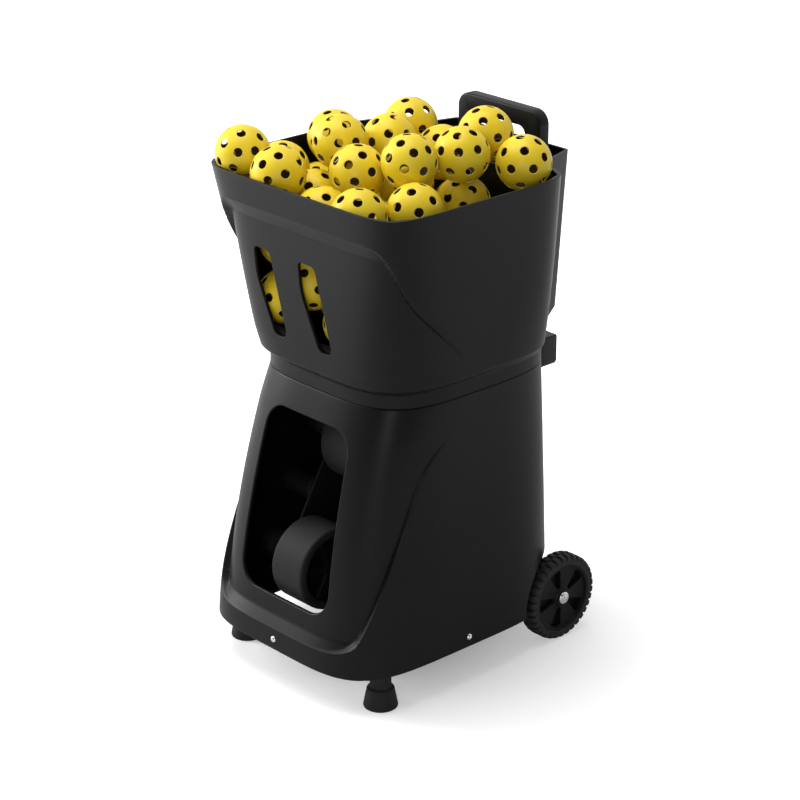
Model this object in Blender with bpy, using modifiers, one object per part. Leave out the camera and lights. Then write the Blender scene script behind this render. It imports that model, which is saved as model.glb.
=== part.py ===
"""A pickleball machine: a wheeled housing with a hopper of balls, a feed carousel and a two-wheel launcher.

Metres, +Z up. The outlet window faces -Y, the telescopic handle is at +Y, and X = 0 is the middle of the window.
The sizes below are measured from the middle of the skirt's plan; build() ends by moving everything so that the
origin is on the ground under the middle of the whole product, wheels included.
"""
import math

import bmesh
import bpy
from mathutils import Vector

OBJECT_NAME = "pickleball_machine"
GAP = 0.0003            # running or seating gap between two pieces that touch

# Housing sections: half width, front, back and roundness of the plan outline at four heights
SKIRT_Z = 0.054
SEAM_Z = 0.409
RIM_Z = 0.686
SKIRT_SECTION = (0.173, -0.199, 0.199, 4.5)
SEAM_SECTION = (0.1495, -0.118, 0.205, 3.7)
WAIST_SECTION = (0.1560, -0.126, 0.200, 4.2)
RIM_SECTION = (0.190, -0.157, 0.168, 8.0)
BASE_CURVE = 1.58       # how late the base narrows on its way up
COLLAR_HEIGHT = 0.018   # straight band of the hopper above the seam
SHOULDER_HEIGHT = 0.012 # where the hopper widens above that band
WALL = 0.0035
OUTLINE_POINTS = 32
SEAT_FLANGE = 0.0125    # inward flange round the base's top, which carries the hopper floor
FLANGE_THICKNESS = 0.0045
SEAM_GROOVE = 0.0012

# Styled front panels, set in from the side skins behind a step that runs up the sides
STEP_DEPTH = 0.0095
BASE_LEDGE_Z = 0.080
BASE_LEDGE_RISE = 0.026
BASE_STEP_END_Z = 0.392
RIM_BAND_Z = 0.650
RIM_LEDGE_DROP = 0.024
HOPPER_STEP_END_Z = 0.448
CREASE_DEPTH = -0.090   # the hopper's front panel lies in front of this, by the rim
PANEL_OVERRUN = 0.012   # how far a front panel's outline runs past the seam
BASE_CREASE_FOOT = (-0.186, 0.050)      # depth and corner radius where the ledge turns up into the crease
BASE_CREASE_BEND = (-0.072, 0.325, 0.140)
BASE_CREASE_END = 0.060
HOPPER_CREASE_HEAD = (-0.152, 0.018)
HOPPER_CREASE_BEND = (-0.105, 0.562, 0.160)
HOPPER_CREASE_END = 0.050
CUT_PAST = 0.060        # how far a cutter runs past the wall that it cuts

# Outlet window and the two sight slots
WINDOW_BOTTOM_Z = 0.124
WINDOW_TOP_Z = 0.368
WINDOW_BOTTOM_WIDTH = 0.176
WINDOW_TOP_WIDTH = 0.158
WINDOW_CORNER = 0.032
SLOT_TOP_Z = 0.587
SLOT_BOTTOM_Z = 0.470
SLOT_WIDTH = 0.031
SLOT_LEAN = 0.021       # sideways shift of a slot from top to bottom
SLOT_CENTRES = (-0.072, 0.017)

# Rear box for the handle tubes
BOX_BACK_Y = 0.240
BOX_BACK_LEAN = 0.0035
BOX_BOTTOM_Z = 0.440
BOX_CHAMFER = 0.023
BOX_HALF_WIDTH = 0.124
BOX_BACK_HALF_WIDTH = 0.107
BOX_TAPER = 0.015       # how much narrower the box is on each side at its foot
BOX_WALL = 0.003
DIVIDER_DROP = 0.020    # how far the wall between box and balls stays below the rim

# Running gear
WHEEL_RADIUS = 0.062
WHEEL_Y = 0.187
WHEEL_FACE_X = 0.169
TYRE_WIDTH = 0.028
TYRE_SHOULDER = 0.0075  # drop from the tread to the tyre's side
RIM_RADIUS = 0.0482
TREAD_BLOCKS = 22
TREAD_DEPTH = 0.0032
SPOKES = 5
POCKET_TURN = math.radians(38)
HUB_RADIUS = 0.0125
RIM_FLANGE = 0.0030     # width of the raised edge round the rim
DISH_DEPTH = 0.0035     # how far the spokes stand behind that edge
AXLE_RADIUS = 0.006
AXLE_HOUSING_RADIUS = 0.0098
ARCH_GAP = 0.0125       # clearance of the wheel arch round the tyre
ARCH_DEPTH = 0.041      # how far the arch reaches in from the wheel's outer face
CAP_RADIUS = 0.009
FOOT_X = 0.1385
FOOT_Y = -0.130
FOOT_RADIUS = 0.0235
FOOT_HEIGHT = 0.028
FOOT_NECK_RADIUS = 0.0145

# Chassis tray
TRAY_Z = 0.072
TRAY_THICKNESS = 0.005
TRAY_LIP = 0.015
TRAY_LIP_THICKNESS = 0.0025
TRAY_MOUTH_HALF_WIDTH = 0.080
TRAY_MOUTH_FRONT = -0.172
TRAY_MOUTH_BACK = -0.120
SCREW_Z = 0.069
SCREW_HEAD_RADIUS = 0.0045
SCREW_HEAD_HEIGHT = 0.0026
SCREW_SHANK_RADIUS = 0.002
SCREW_LENGTH = 0.010

# Launcher: two driven wheels, one above the other, that turn about X and nip the ball
BALL_DIAMETER = 0.074
PITCH_Y = -0.072
PITCH_Z = 0.234
LAUNCH_ANGLE = math.radians(30)
TILT_BACK = math.radians(25)    # how far the launcher tilts down from its rest angle
THROW_RADIUS = 0.058
THROW_HALF_WIDTH = 0.030
THROW_RIM = 0.011
THROW_SPACING = 0.178   # centre to centre: the nip is 12 mm tighter than the ball
CRADLE_PLATE = 0.004
CRADLE_CLEARANCE = 0.0045
UPRIGHT_X = 0.047
UPRIGHT_THICKNESS = 0.006
PIVOT_RADIUS = 0.005
THROW_MOTOR_RADIUS = 0.020
THROW_MOTOR_LENGTH = 0.062
THROW_SHAFT_RADIUS = 0.004
TURNTABLE_Y = 0.010
TURNTABLE_Z = 0.112
TURNTABLE_RADIUS = 0.058
TURNTABLE_THICKNESS = 0.006
YAW_MOTOR_RADIUS = 0.032
YAW_SHAFT_RADIUS = 0.005
PITCH_MOTOR_RADIUS = 0.017
PITCH_MOTOR_LENGTH = 0.050

# Feed: the carousel drops one ball at a time through the floor
CAROUSEL_Y = 0.045
CAROUSEL_RADIUS = 0.112
CAROUSEL_POCKETS = 5
POCKET_RADIUS = 0.0405
POCKET_PITCH_RADIUS = 0.078
CAROUSEL_HEIGHT = 0.026
FLOOR_THICKNESS = 0.005
WELL_RADIUS = 0.121
WELL_TOP_Z = 0.443
FUNNEL_TOP_Z = 0.474
FEED_MOTOR_RADIUS = 0.025
FEED_MOTOR_HEIGHT = 0.042
FEED_SHAFT_RADIUS = 0.005
CHUTE_BORE_RADIUS = 0.0395
CHUTE_WALL = 0.003

# Battery and rear panel
BATTERY_SIZE = (0.140, 0.082, 0.082)
BATTERY_Y = 0.124
PANEL_Z = 0.245
PANEL_WIDTH = 0.084
PANEL_HEIGHT = 0.076
PANEL_LIP = 0.004
PANEL_DEPTH = 0.020
SWITCH_X = -0.018
SWITCH_WIDTH = 0.013
SWITCH_HEIGHT = 0.020
SWITCH_TILT = math.radians(8)
SOCKET_X = 0.018
SOCKET_RADIUS = 0.0075

# Telescopic handle
TUBE_X = 0.0665
TUBE_Y = 0.2215
OUTER_TUBE_RADIUS = 0.011
TUBE_WALL = 0.0014
INNER_TUBE_RADIUS = OUTER_TUBE_RADIUS - TUBE_WALL - GAP
OUTER_TUBE_TOP_Z = 0.655
INNER_TUBE_BOTTOM_Z = 0.392
GRIP_REST = 0.0035      # the lowered grip stands this far above the outer tubes
GRIP_HEIGHT = 0.0765
GRIP_HALF_WIDTH = 0.083
GRIP_BAR = 0.025
GRIP_LEG = 0.033
GRIP_DEPTH = 0.020
GRIP_SOCKET = 0.014
BRACKET_HALF_WIDTH = 0.094
BRACKET_DROP = 0.020    # how far the bracket's top lies below the rear box
BRACKET_HEIGHT = 0.044
BRACKET_BACK_Y = 0.2385
GRIP_BOTTOM_Z = OUTER_TUBE_TOP_Z + GRIP_REST
GRIP_TOP_Z = GRIP_BOTTOM_Z + GRIP_HEIGHT
BRACKET_TOP_Z = BOX_BOTTOM_Z - BRACKET_DROP
BRACKET_BOTTOM_Z = BRACKET_TOP_Z - BRACKET_HEIGHT

# Balls: rough centres of those that show over the rim or through the slots, heights above the rim
BALL_SPOTS = (
    (-0.145, -0.115, 0.009), (-0.073, -0.118, 0.001), (-0.143, -0.051, -0.022), (-0.061, -0.015, 0.024),
    (-0.149, 0.048, -0.001), (-0.141, 0.011, -0.060), (0.003, -0.107, -0.038), (0.004, -0.045, 0.004),
    (0.081, -0.113, -0.023), (0.066, -0.012, 0.024), (0.112, -0.046, -0.022), (0.077, 0.073, -0.046),
    (0.088, 0.057, 0.026), (-0.011, 0.117, -0.005), (-0.078, 0.125, 0.017), (-0.046, 0.056, 0.015),
    (0.063, 0.126, 0.034), (0.135, 0.130, 0.011), (0.010, 0.133, -0.073), (-0.034, -0.092, -0.148),
    (0.002, -0.060, -0.196), (-0.096, -0.092, -0.182), (-0.110, -0.072, -0.118))
BALL_SWEEPS = 120
BALL_REACH = BALL_DIAMETER + 1.5 * GAP  # centre to centre of two balls that touch
FUNNEL_SLACK = 1.16     # a ball on the sloping funnel stands higher than on a level floor

parts = None
cutters = None


def lerp(start, end, share):
    return start + (end - start) * share


def blend(first, second, share):
    """The plan section part of the way from one section to another."""
    return tuple(lerp(a, b, share) for a, b in zip(first, second))


def drawn_in(section, distance):
    half_width, front, back, power = section
    return (half_width - distance, front + distance, back - distance, power)


def ring(section, z, inset=0.0):
    """Points of a rounded plan outline at height z, counter-clockwise seen from above."""
    half_width, front, back, power = drawn_in(section, inset)
    half_depth = (back - front) / 2
    middle = (back + front) / 2
    points = []
    for index in range(OUTLINE_POINTS):
        angle = 2 * math.pi * index / OUTLINE_POINTS
        cosine = math.cos(angle)
        sine = math.sin(angle)
        x = math.copysign(abs(cosine) ** (2 / power), cosine) * half_width
        y = math.copysign(abs(sine) ** (2 / power), sine) * half_depth + middle
        points.append((x, y, z))
    return points


def circle_ring(radius, y, z):
    """A circle with as many points as a plan outline, so that the two can be lofted."""
    turn = 2 * math.pi / OUTLINE_POINTS
    return [(radius * math.cos(turn * i), y + radius * math.sin(turn * i), z) for i in range(OUTLINE_POINTS)]


def curved_base_section(z):
    share = (z - SKIRT_Z) / (SEAM_Z - SKIRT_Z)
    section = blend(SKIRT_SECTION, SEAM_SECTION, share ** BASE_CURVE)
    return section[:3] + (lerp(SKIRT_SECTION[3], SEAM_SECTION[3], share),)


COLLAR_TOP_Z = SEAM_Z + COLLAR_HEIGHT
WAIST_Z = COLLAR_TOP_Z + SHOULDER_HEIGHT
BASE_STATIONS = [lerp(SKIRT_Z, SEAM_Z, share) for share in (0, 0.23, 0.48, 0.74, 1)]
BASE_STACK = [(z, curved_base_section(z)) for z in BASE_STATIONS]
HOPPER_BOTTOM_Z = SEAM_Z + GAP
HOPPER_STACK = [(HOPPER_BOTTOM_Z, drawn_in(SEAM_SECTION, SEAM_GROOVE)),
                (HOPPER_BOTTOM_Z + SEAM_GROOVE, SEAM_SECTION), (COLLAR_TOP_Z, SEAM_SECTION)]
HOPPER_STACK += [(lerp(WAIST_Z, RIM_Z, share), blend(WAIST_SECTION, RIM_SECTION, share))
                 for share in (0, 0.5, 1)]
WAIST_MIDDLE_Z = lerp(WAIST_Z, RIM_Z, 0.5)


def between(stack, z):
    """The two entries of a stack of sections on either side of a height, and the share between them."""
    z = min(max(z, stack[0][0]), stack[-1][0])
    for (low, first), (high, second) in zip(stack, stack[1:]):
        if z <= high:
            return first, second, (z - low) / (high - low)


def stack_ring(stack, z, inset=0.0):
    """The outline of a lofted body at any height: straight between its stations, as the loft is."""
    first, second, share = between(stack, z)
    pairs = zip(ring(first, z, inset), ring(second, z, inset))
    return [(lerp(a[0], b[0], share), lerp(a[1], b[1], share), z) for a, b in pairs]


def base_ring(z, inset=0.0):
    return stack_ring(BASE_STACK, z, inset)


def hopper_ring(z, inset=0.0):
    return stack_ring(HOPPER_STACK, z, inset)


def base_section(z):
    first, second, share = between(BASE_STACK, z)
    return blend(first, second, share)


def back_wall(x, z, inset=0.0):
    """How far back the base's rear wall lies at a sideways place and height."""
    outline = base_ring(z, inset)
    for first, second in zip(outline, outline[1:]):
        if first[1] > 0 and second[0] <= x <= first[0]:
            return lerp(first[1], second[1], (x - first[0]) / (second[0] - first[0]))


def fillet(corners, steps=5):
    """An outline from (x, y, radius) corners, with each corner of some radius turned into an arc."""
    points = []
    count = len(corners)
    for index, (x, y, radius) in enumerate(corners):
        corner = Vector((x, y))
        if radius <= 0:
            points.append((x, y))
            continue
        before = (Vector(corners[index - 1][:2]) - corner).normalized()
        after = (Vector(corners[(index + 1) % count][:2]) - corner).normalized()
        half_angle = before.angle(after) / 2
        bisector = (before + after).normalized()
        centre = corner + bisector * (radius / math.sin(half_angle))
        start = corner + before * (radius / math.tan(half_angle)) - centre
        sweep = math.pi - 2 * half_angle
        if before.x * after.y - before.y * after.x > 0:
            sweep = -sweep
        for step in range(steps + 1):
            turn = sweep * step / steps
            cosine = math.cos(turn)
            sine = math.sin(turn)
            points.append((centre.x + start.x * cosine - start.y * sine,
                           centre.y + start.x * sine + start.y * cosine))
    return points


def material(name, colour, roughness, metallic=0.0):
    found = bpy.data.materials.get(name)
    if found:
        return found
    made = bpy.data.materials.new(name)
    made.use_nodes = True
    shader = made.node_tree.nodes["Principled BSDF"]
    shader.inputs["Base Color"].default_value = (*colour, 1.0)
    shader.inputs["Roughness"].default_value = roughness
    shader.inputs["Metallic"].default_value = metallic
    made.diffuse_color = (*colour, 1.0)
    return made


FINISHES = {
    "moulded_black": ((0.020, 0.020, 0.021), 0.48, 0.0),
    "inner_black": ((0.030, 0.030, 0.032), 0.60, 0.0),
    "soft_rubber": ((0.012, 0.012, 0.012), 0.85, 0.0),
    "tyre_rubber": ((0.014, 0.014, 0.014), 0.80, 0.0),
    "throwing_rubber": ((0.035, 0.035, 0.036), 0.75, 0.0),
    "wheel_plastic": ((0.022, 0.022, 0.023), 0.45, 0.0),
    "tray_steel": ((0.045, 0.045, 0.048), 0.55, 0.0),
    "motor_black": ((0.030, 0.030, 0.033), 0.40, 0.0),
    "bright_steel": ((0.78, 0.78, 0.78), 0.18, 1.0),
    "tube_aluminium": ((0.62, 0.63, 0.64), 0.32, 1.0),
    "battery_case": ((0.05, 0.055, 0.06), 0.50, 0.0),
    "ball_yellow": ((0.84, 0.62, 0.04), 0.42, 0.0),
}


def finish(part, name):
    part.data.materials.clear()
    part.data.materials.append(material(name, *FINISHES[name]))


def smooth(part, angle=32):
    part.data.shade_smooth()
    part.data.set_sharp_from_angle(angle=math.radians(angle))


def keep(part, name, finish_name, angle=32):
    """Names a finished piece, gives it its finish and files it with the object's parts."""
    part.name = name
    part.data.name = name
    for collection in list(part.users_collection):
        collection.objects.unlink(part)
    parts.objects.link(part)
    smooth(part, angle)
    finish(part, finish_name)
    return part


def solid(name, mesh):
    made = bpy.data.objects.new(name, mesh)
    cutters.objects.link(made)
    return made


def loft(name, rings):
    """A closed solid through rings of equal point counts, from the lowest ring to the highest."""
    count = len(rings[0])
    vertices = [point for points in rings for point in points]
    faces = [tuple(reversed(range(count)))]
    for level in range(len(rings) - 1):
        base = level * count
        for index in range(count):
            following = (index + 1) % count
            faces.append((base + index, base + following, base + count + following, base + count + index))
    faces.append(tuple(range((len(rings) - 1) * count, len(rings) * count)))
    mesh = bpy.data.meshes.new(name)
    mesh.from_pydata(vertices, [], faces)
    mesh.update()
    return solid(name, mesh)


def primitive(name, build):
    mesh = bpy.data.meshes.new(name)
    work = bmesh.new()
    build(work)
    bmesh.ops.recalc_face_normals(work, faces=work.faces)
    work.to_mesh(mesh)
    work.free()
    return solid(name, mesh)


def box(name, low, high):
    """A box between two opposite corners."""
    def build(work):
        bmesh.ops.create_cube(work, size=1.0)
        for vertex in work.verts:
            vertex.co = [lerp(a, b, share + 0.5) for a, b, share in zip(low, high, vertex.co)]
    return primitive(name, build)


TURNS = {"X": (0.0, math.pi / 2, 0.0), "Y": (-math.pi / 2, 0.0, 0.0), "Z": (0.0, 0.0, 0.0)}


def cylinder(name, radius, low, high, axis="Z", centre=(0.0, 0.0), sides=28):
    """A cylinder along an axis from low to high; centre holds its two other coordinates, in X, Y, Z order."""
    def build(work):
        bmesh.ops.create_cone(work, cap_ends=True, segments=sides, radius1=radius, radius2=radius,
                              depth=high - low)
    made = primitive(name, build)
    middle = (low + high) / 2
    places = {"X": (middle, *centre), "Y": (centre[0], middle, centre[1]), "Z": (*centre, middle)}
    made.location = places[axis]
    made.rotation_euler = TURNS[axis]
    return made


def turned(name, profile, axis="Z", at=(0.0, 0.0, 0.0), steps=28, closed=False):
    """A turned solid: (radius, height) points down its outer side, spun about the axis."""
    mesh = bpy.data.meshes.new(name)
    edges = [(i, i + 1) for i in range(len(profile) - 1)]
    if closed:
        edges.append((len(profile) - 1, 0))
    mesh.from_pydata([(radius, 0.0, height) for radius, height in profile], edges, [])
    made = solid(name, mesh)
    screw = made.modifiers.new("Turn", "SCREW")
    screw.steps = steps
    screw.render_steps = steps
    screw.use_merge_vertices = True
    screw.merge_threshold = 0.00001
    made.location = at
    made.rotation_euler = TURNS[axis]
    return made


OUTLINE_TURNS = {"X": (math.pi / 2, 0.0, math.pi / 2), "Y": (math.pi / 2, 0.0, 0.0), "Z": (0.0, 0.0, 0.0)}


def as_mesh(curve_object, name):
    """The curve's surface as a closed mesh, in the curve's place."""
    bpy.context.view_layer.update()
    graph = bpy.context.evaluated_depsgraph_get()
    mesh = bpy.data.meshes.new_from_object(curve_object.evaluated_get(graph))
    work = bmesh.new()
    work.from_mesh(mesh)
    bmesh.ops.remove_doubles(work, verts=work.verts, dist=0.00001)
    bmesh.ops.recalc_face_normals(work, faces=work.faces)
    work.to_mesh(mesh)
    work.free()
    made = solid(name, mesh)
    made.matrix_world = curve_object.matrix_world
    bpy.data.objects.remove(curve_object)
    return made


def flat(name, outlines, low, high, axis):
    """Flat outlines given thickness along an axis: (y, z) outlines along X, (x, z) along Y, (x, y) along Z."""
    curve = bpy.data.curves.new(name, "CURVE")
    curve.dimensions = "2D"
    curve.fill_mode = "BOTH"
    curve.extrude = (high - low) / 2
    for outline in outlines:
        spline = curve.splines.new("POLY")
        spline.points.add(len(outline) - 1)
        for point, (across, up) in zip(spline.points, outline):
            point.co = (across, up, 0.0, 1.0)
        spline.use_cyclic_u = True
    drawn = bpy.data.objects.new(name + "_outline", curve)
    cutters.objects.link(drawn)
    middle = (low + high) / 2
    drawn.location = {"X": (middle, 0, 0), "Y": (0, middle, 0), "Z": (0, 0, middle)}[axis]
    drawn.rotation_euler = OUTLINE_TURNS[axis]
    return as_mesh(drawn, name)


def combine(target, others, operation="DIFFERENCE"):
    """Cuts others out of the target, or joins them to it, and keeps them as hidden helpers."""
    for other in others:
        modifier = target.modifiers.new(other.name, "BOOLEAN")
        modifier.operation = operation
        modifier.solver = "EXACT"
        modifier.object = other
        other.hide_render = True
        other.display_type = "WIRE"
    return target


def pivot(name, location, tilt=0.0):
    """An empty on a joint's axis, for the pieces that turn about it."""
    empty = bpy.data.objects.new(name, None)
    empty.empty_display_size = 0.03
    empty.location = location
    empty.rotation_euler = (tilt, 0.0, 0.0)
    parts.objects.link(empty)
    return empty


# Housing shells

def step_profile(points):
    """Inset of the front panel at some height, from (height, inset) points in rising order."""
    def inset(z):
        if z <= points[0][0]:
            return points[0][1]
        for (low, first), (high, second) in zip(points, points[1:]):
            if z <= high:
                return lerp(first, second, (z - low) / (high - low))
        return points[-1][1]
    return inset


BASE_INSET = step_profile([
    (BASE_LEDGE_Z - 0.010, -0.0045), (BASE_LEDGE_Z, -0.0010), (BASE_LEDGE_Z + BASE_LEDGE_RISE, STEP_DEPTH),
    (BASE_STEP_END_Z, -0.0010), (SEAM_Z + 0.02, -0.006)])
HOPPER_INSET = step_profile([
    (SEAM_Z - 0.02, -0.006), (HOPPER_STEP_END_Z, -0.0010), (RIM_BAND_Z - RIM_LEDGE_DROP, STEP_DEPTH),
    (RIM_BAND_Z, -0.0010), (RIM_BAND_Z + 0.010, -0.0045)])


def base_region(shift):
    """Side view of the part of the base that the front panel takes: ledge, rounded corner and rising crease."""
    ahead = SKIRT_SECTION[1] - CUT_PAST
    top = SEAM_Z + PANEL_OVERRUN
    foot_y, foot_radius = BASE_CREASE_FOOT
    corners = [(ahead, BASE_LEDGE_Z - 0.001, 0), (foot_y, BASE_LEDGE_Z - 0.001, foot_radius), BASE_CREASE_BEND]
    lower = [(y + shift, z - shift, radius) for y, z, radius in corners]
    return fillet(lower + [(BASE_CREASE_END, top, 0), (ahead, top, 0)], 4)


def hopper_region(shift):
    """Side view of the part of the hopper that its front panel takes, below the rim band."""
    ahead = RIM_SECTION[1] - CUT_PAST
    bottom = HOPPER_STEP_END_Z - 0.028
    head_y, head_radius = HOPPER_CREASE_HEAD
    corners = [(ahead, RIM_BAND_Z + 0.001, 0), (head_y, RIM_BAND_Z + 0.001, head_radius), HOPPER_CREASE_BEND]
    upper = [(y + shift, z + shift, radius) for y, z, radius in corners]
    return fillet(upper + [(HOPPER_CREASE_END, bottom, 0), (ahead, bottom, 0)], 4)


def stepped_body(name, ring_at, stations, panel_inset, region, inset, panel_stations):
    """A housing body, moved in by inset, whose front region steps in to the panel."""
    body = loft(name, [ring_at(z, inset) for z in stations])
    panel = loft(name + "_panel", [ring_at(z, inset + panel_inset(z)) for z in panel_stations])
    outer = max(SKIRT_SECTION[0], RIM_SECTION[0]) + 0.03
    front = flat(name + "_region", [region], -outer, outer, "X")
    return combine(body, [combine(front, [panel])])


BASE_PANEL_STATIONS = [SKIRT_Z, BASE_LEDGE_Z - 0.010, BASE_LEDGE_Z, BASE_LEDGE_Z + BASE_LEDGE_RISE]
BASE_PANEL_STATIONS += [z for z in BASE_STATIONS if BASE_PANEL_STATIONS[-1] + 0.02 < z < BASE_STEP_END_Z - 0.02]
BASE_PANEL_STATIONS += [BASE_STEP_END_Z, SEAM_Z + 0.02]
TRAY_EDGE = WALL + GAP


def window_outline(grow=0.0):
    bottom = WINDOW_BOTTOM_WIDTH / 2 + grow
    top = WINDOW_TOP_WIDTH / 2 + grow
    corner = WINDOW_CORNER + grow
    return fillet([(-bottom, WINDOW_BOTTOM_Z - grow, corner), (bottom, WINDOW_BOTTOM_Z - grow, corner),
                   (top, WINDOW_TOP_Z + grow, corner), (-top, WINDOW_TOP_Z + grow, corner)], 5)


def panel_outline(grow=0.0):
    half_width = PANEL_WIDTH / 2 + grow
    half_height = PANEL_HEIGHT / 2 + grow
    corner = 0.006 + grow
    return fillet([(-half_width, PANEL_Z - half_height, corner), (half_width, PANEL_Z - half_height, corner),
                   (half_width, PANEL_Z + half_height, corner), (-half_width, PANEL_Z + half_height, corner)], 2)


def wheel_arch(name, grow, side):
    """The round space for a transport wheel, open through the side of the housing."""
    radius = WHEEL_RADIUS + ARCH_GAP + grow
    inner = WHEEL_FACE_X - ARCH_DEPTH - grow
    outer = SKIRT_SECTION[0] + CUT_PAST
    ends = (inner, outer) if side > 0 else (-outer, -inner)
    return cylinder(name, radius, *ends, "X", (WHEEL_Y, WHEEL_RADIUS), 32)


def screw_places():
    """Name, axis, direction and place of each housing screw, seated on the skirt below its head."""
    half_width, front, _, _ = base_section(SCREW_Z - SCREW_HEAD_RADIUS)
    return [("front", "Y", -1, (0.0, front, SCREW_Z)),
            ("left", "X", -1, (-half_width, 0.0, SCREW_Z)),
            ("right", "X", 1, (half_width, 0.0, SCREW_Z))]


def screw_hole(name, axis, direction, place, radius):
    reach = SCREW_LENGTH + 0.004
    coordinate = place[1] if axis == "Y" else place[0]
    low, high = sorted((coordinate + direction * 0.006, coordinate - direction * reach))
    centre = (place[0], place[2]) if axis == "Y" else (place[1], place[2])
    return cylinder(name, radius, low, high, axis, centre, 10)


def base_housing():
    body = stepped_body("base_body", base_ring, BASE_STATIONS, BASE_INSET, base_region(0.0), 0.0,
                        BASE_PANEL_STATIONS)
    ceiling = SEAM_Z - FLANGE_THICKNESS
    hollow_stations = [SKIRT_Z - 0.02] + BASE_STATIONS[:-1] + [ceiling]
    hollow = stepped_body("base_hollow", base_ring, hollow_stations, BASE_INSET, base_region(WALL * 1.15), WALL,
                          BASE_PANEL_STATIONS)
    combine(hollow, [wheel_arch(f"arch_wall_{side}", WALL, side) for side in (-1, 1)])
    top_opening = loft("base_top_opening", [base_ring(z, WALL + SEAT_FLANGE) for z in (ceiling - 0.01, SEAM_Z + 0.01)])
    combine(body, [hollow, top_opening])
    arch_face = WHEEL_FACE_X - ARCH_DEPTH
    combine(body, [cylinder("axle_housing", AXLE_HOUSING_RADIUS, -arch_face - 0.002, arch_face + 0.002, "X",
                            (WHEEL_Y, WHEEL_RADIUS), 18)], "UNION")
    cuts = [wheel_arch(f"arch_{side}", 0.0, side) for side in (-1, 1)]
    cuts.append(flat("outlet_window", [window_outline()], SKIRT_SECTION[1] - CUT_PAST, SEAM_SECTION[1] + CUT_PAST, "Y"))
    cuts.append(flat("panel_opening", [panel_outline(GAP)], SKIRT_SECTION[2] - 2 * PANEL_DEPTH,
                     SEAM_SECTION[2] + CUT_PAST, "Y"))
    cuts.append(cylinder("axle_way", AXLE_RADIUS + GAP, -WHEEL_FACE_X, WHEEL_FACE_X, "X", (WHEEL_Y, WHEEL_RADIUS), 14))
    for name, axis, direction, place in screw_places():
        cuts.append(screw_hole(f"skirt_hole_{name}", axis, direction, place, SCREW_SHANK_RADIUS + GAP))
    keep(combine(body, cuts), "base_housing", "moulded_black")


def box_ring(z, back, inset=0.0):
    """Plan outline of the rear box at height z, with its back wall at the given depth."""
    share = (RIM_Z - z) / (RIM_Z - BOX_BOTTOM_Z)
    front_half = BOX_HALF_WIDTH - BOX_TAPER * share - inset
    back_half = BOX_BACK_HALF_WIDTH - BOX_TAPER * share - inset
    start = RIM_SECTION[2] - 0.012
    corners = [(-back_half, back - inset, 0.008), (-front_half, start + 0.022, 0.012), (-front_half, start, 0),
               (front_half, start, 0), (front_half, start + 0.022, 0.012), (back_half, back - inset, 0.008)]
    return [(x, y, z) for x, y in fillet(corners, 3)]


def slot_outline(centre):
    half = SLOT_WIDTH / 2
    top = centre - SLOT_LEAN / 2
    bottom = centre + SLOT_LEAN / 2
    return fillet([(bottom - half * 0.35, SLOT_BOTTOM_Z, 0.012), (bottom + half, SLOT_BOTTOM_Z, 0.004),
                   (top + half, SLOT_TOP_Z, 0.006), (top - half, SLOT_TOP_Z, 0.005),
                   (top - half * 0.95, lerp(SLOT_TOP_Z, SLOT_BOTTOM_Z, 0.35), 0.08)], 3)


HOPPER_PANEL_STATIONS = [SEAM_Z - 0.02, HOPPER_STEP_END_Z, WAIST_MIDDLE_Z, RIM_BAND_Z - RIM_LEDGE_DROP, RIM_BAND_Z,
                         RIM_BAND_Z + 0.010]

def hopper_shell():
    stations = [z for z, _ in HOPPER_STACK]
    body = stepped_body("hopper_body", hopper_ring, stations, HOPPER_INSET, hopper_region(0.0), 0.0,
                        HOPPER_PANEL_STATIONS)
    low_back = BOX_BACK_Y - BOX_BACK_LEAN
    rear_box = loft("rear_box", [box_ring(BOX_BOTTOM_Z, low_back - BOX_CHAMFER),
                                 box_ring(BOX_BOTTOM_Z + BOX_CHAMFER, low_back), box_ring(RIM_Z, BOX_BACK_Y)])
    combine(body, [rear_box], "UNION")
    hollow = stepped_body("hopper_hollow", hopper_ring, [SEAM_Z - 0.01] + stations[1:] + [RIM_Z + 0.01],
                          HOPPER_INSET, hopper_region(WALL * 1.15), WALL, HOPPER_PANEL_STATIONS)
    box_floor = BOX_BOTTOM_Z + BOX_CHAMFER + 0.004
    box_hollow = loft("box_hollow", [box_ring(box_floor, low_back, BOX_WALL),
                                     box_ring(RIM_Z + 0.01, BOX_BACK_Y, BOX_WALL)])
    divider = loft("divider", [hopper_ring(z) for z in (*stations[1:], RIM_Z + 0.02)])
    combine(box_hollow, [divider])
    cuts = [hollow, box_hollow]
    opening = BOX_BACK_HALF_WIDTH - BOX_WALL - 0.006
    cuts.append(box("divider_drop", (-opening, RIM_SECTION[2] - 0.02, RIM_Z - DIVIDER_DROP),
                    (opening, TUBE_Y - 0.008, RIM_Z + 0.02)))
    for side in (-1, 1):
        cuts.append(cylinder(f"tube_way_{side}", OUTER_TUBE_RADIUS + GAP, BOX_BOTTOM_Z - 0.02, box_floor + 0.02, "Z",
                             (side * TUBE_X, TUBE_Y), 18))
    cuts.append(flat("sight_slots", [slot_outline(centre) for centre in SLOT_CENTRES], RIM_SECTION[1] - CUT_PAST,
                     SEAM_SECTION[1] + CUT_PAST, "Y"))
    keep(combine(body, cuts), "hopper_shell", "moulded_black")


# Running gear

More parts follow.
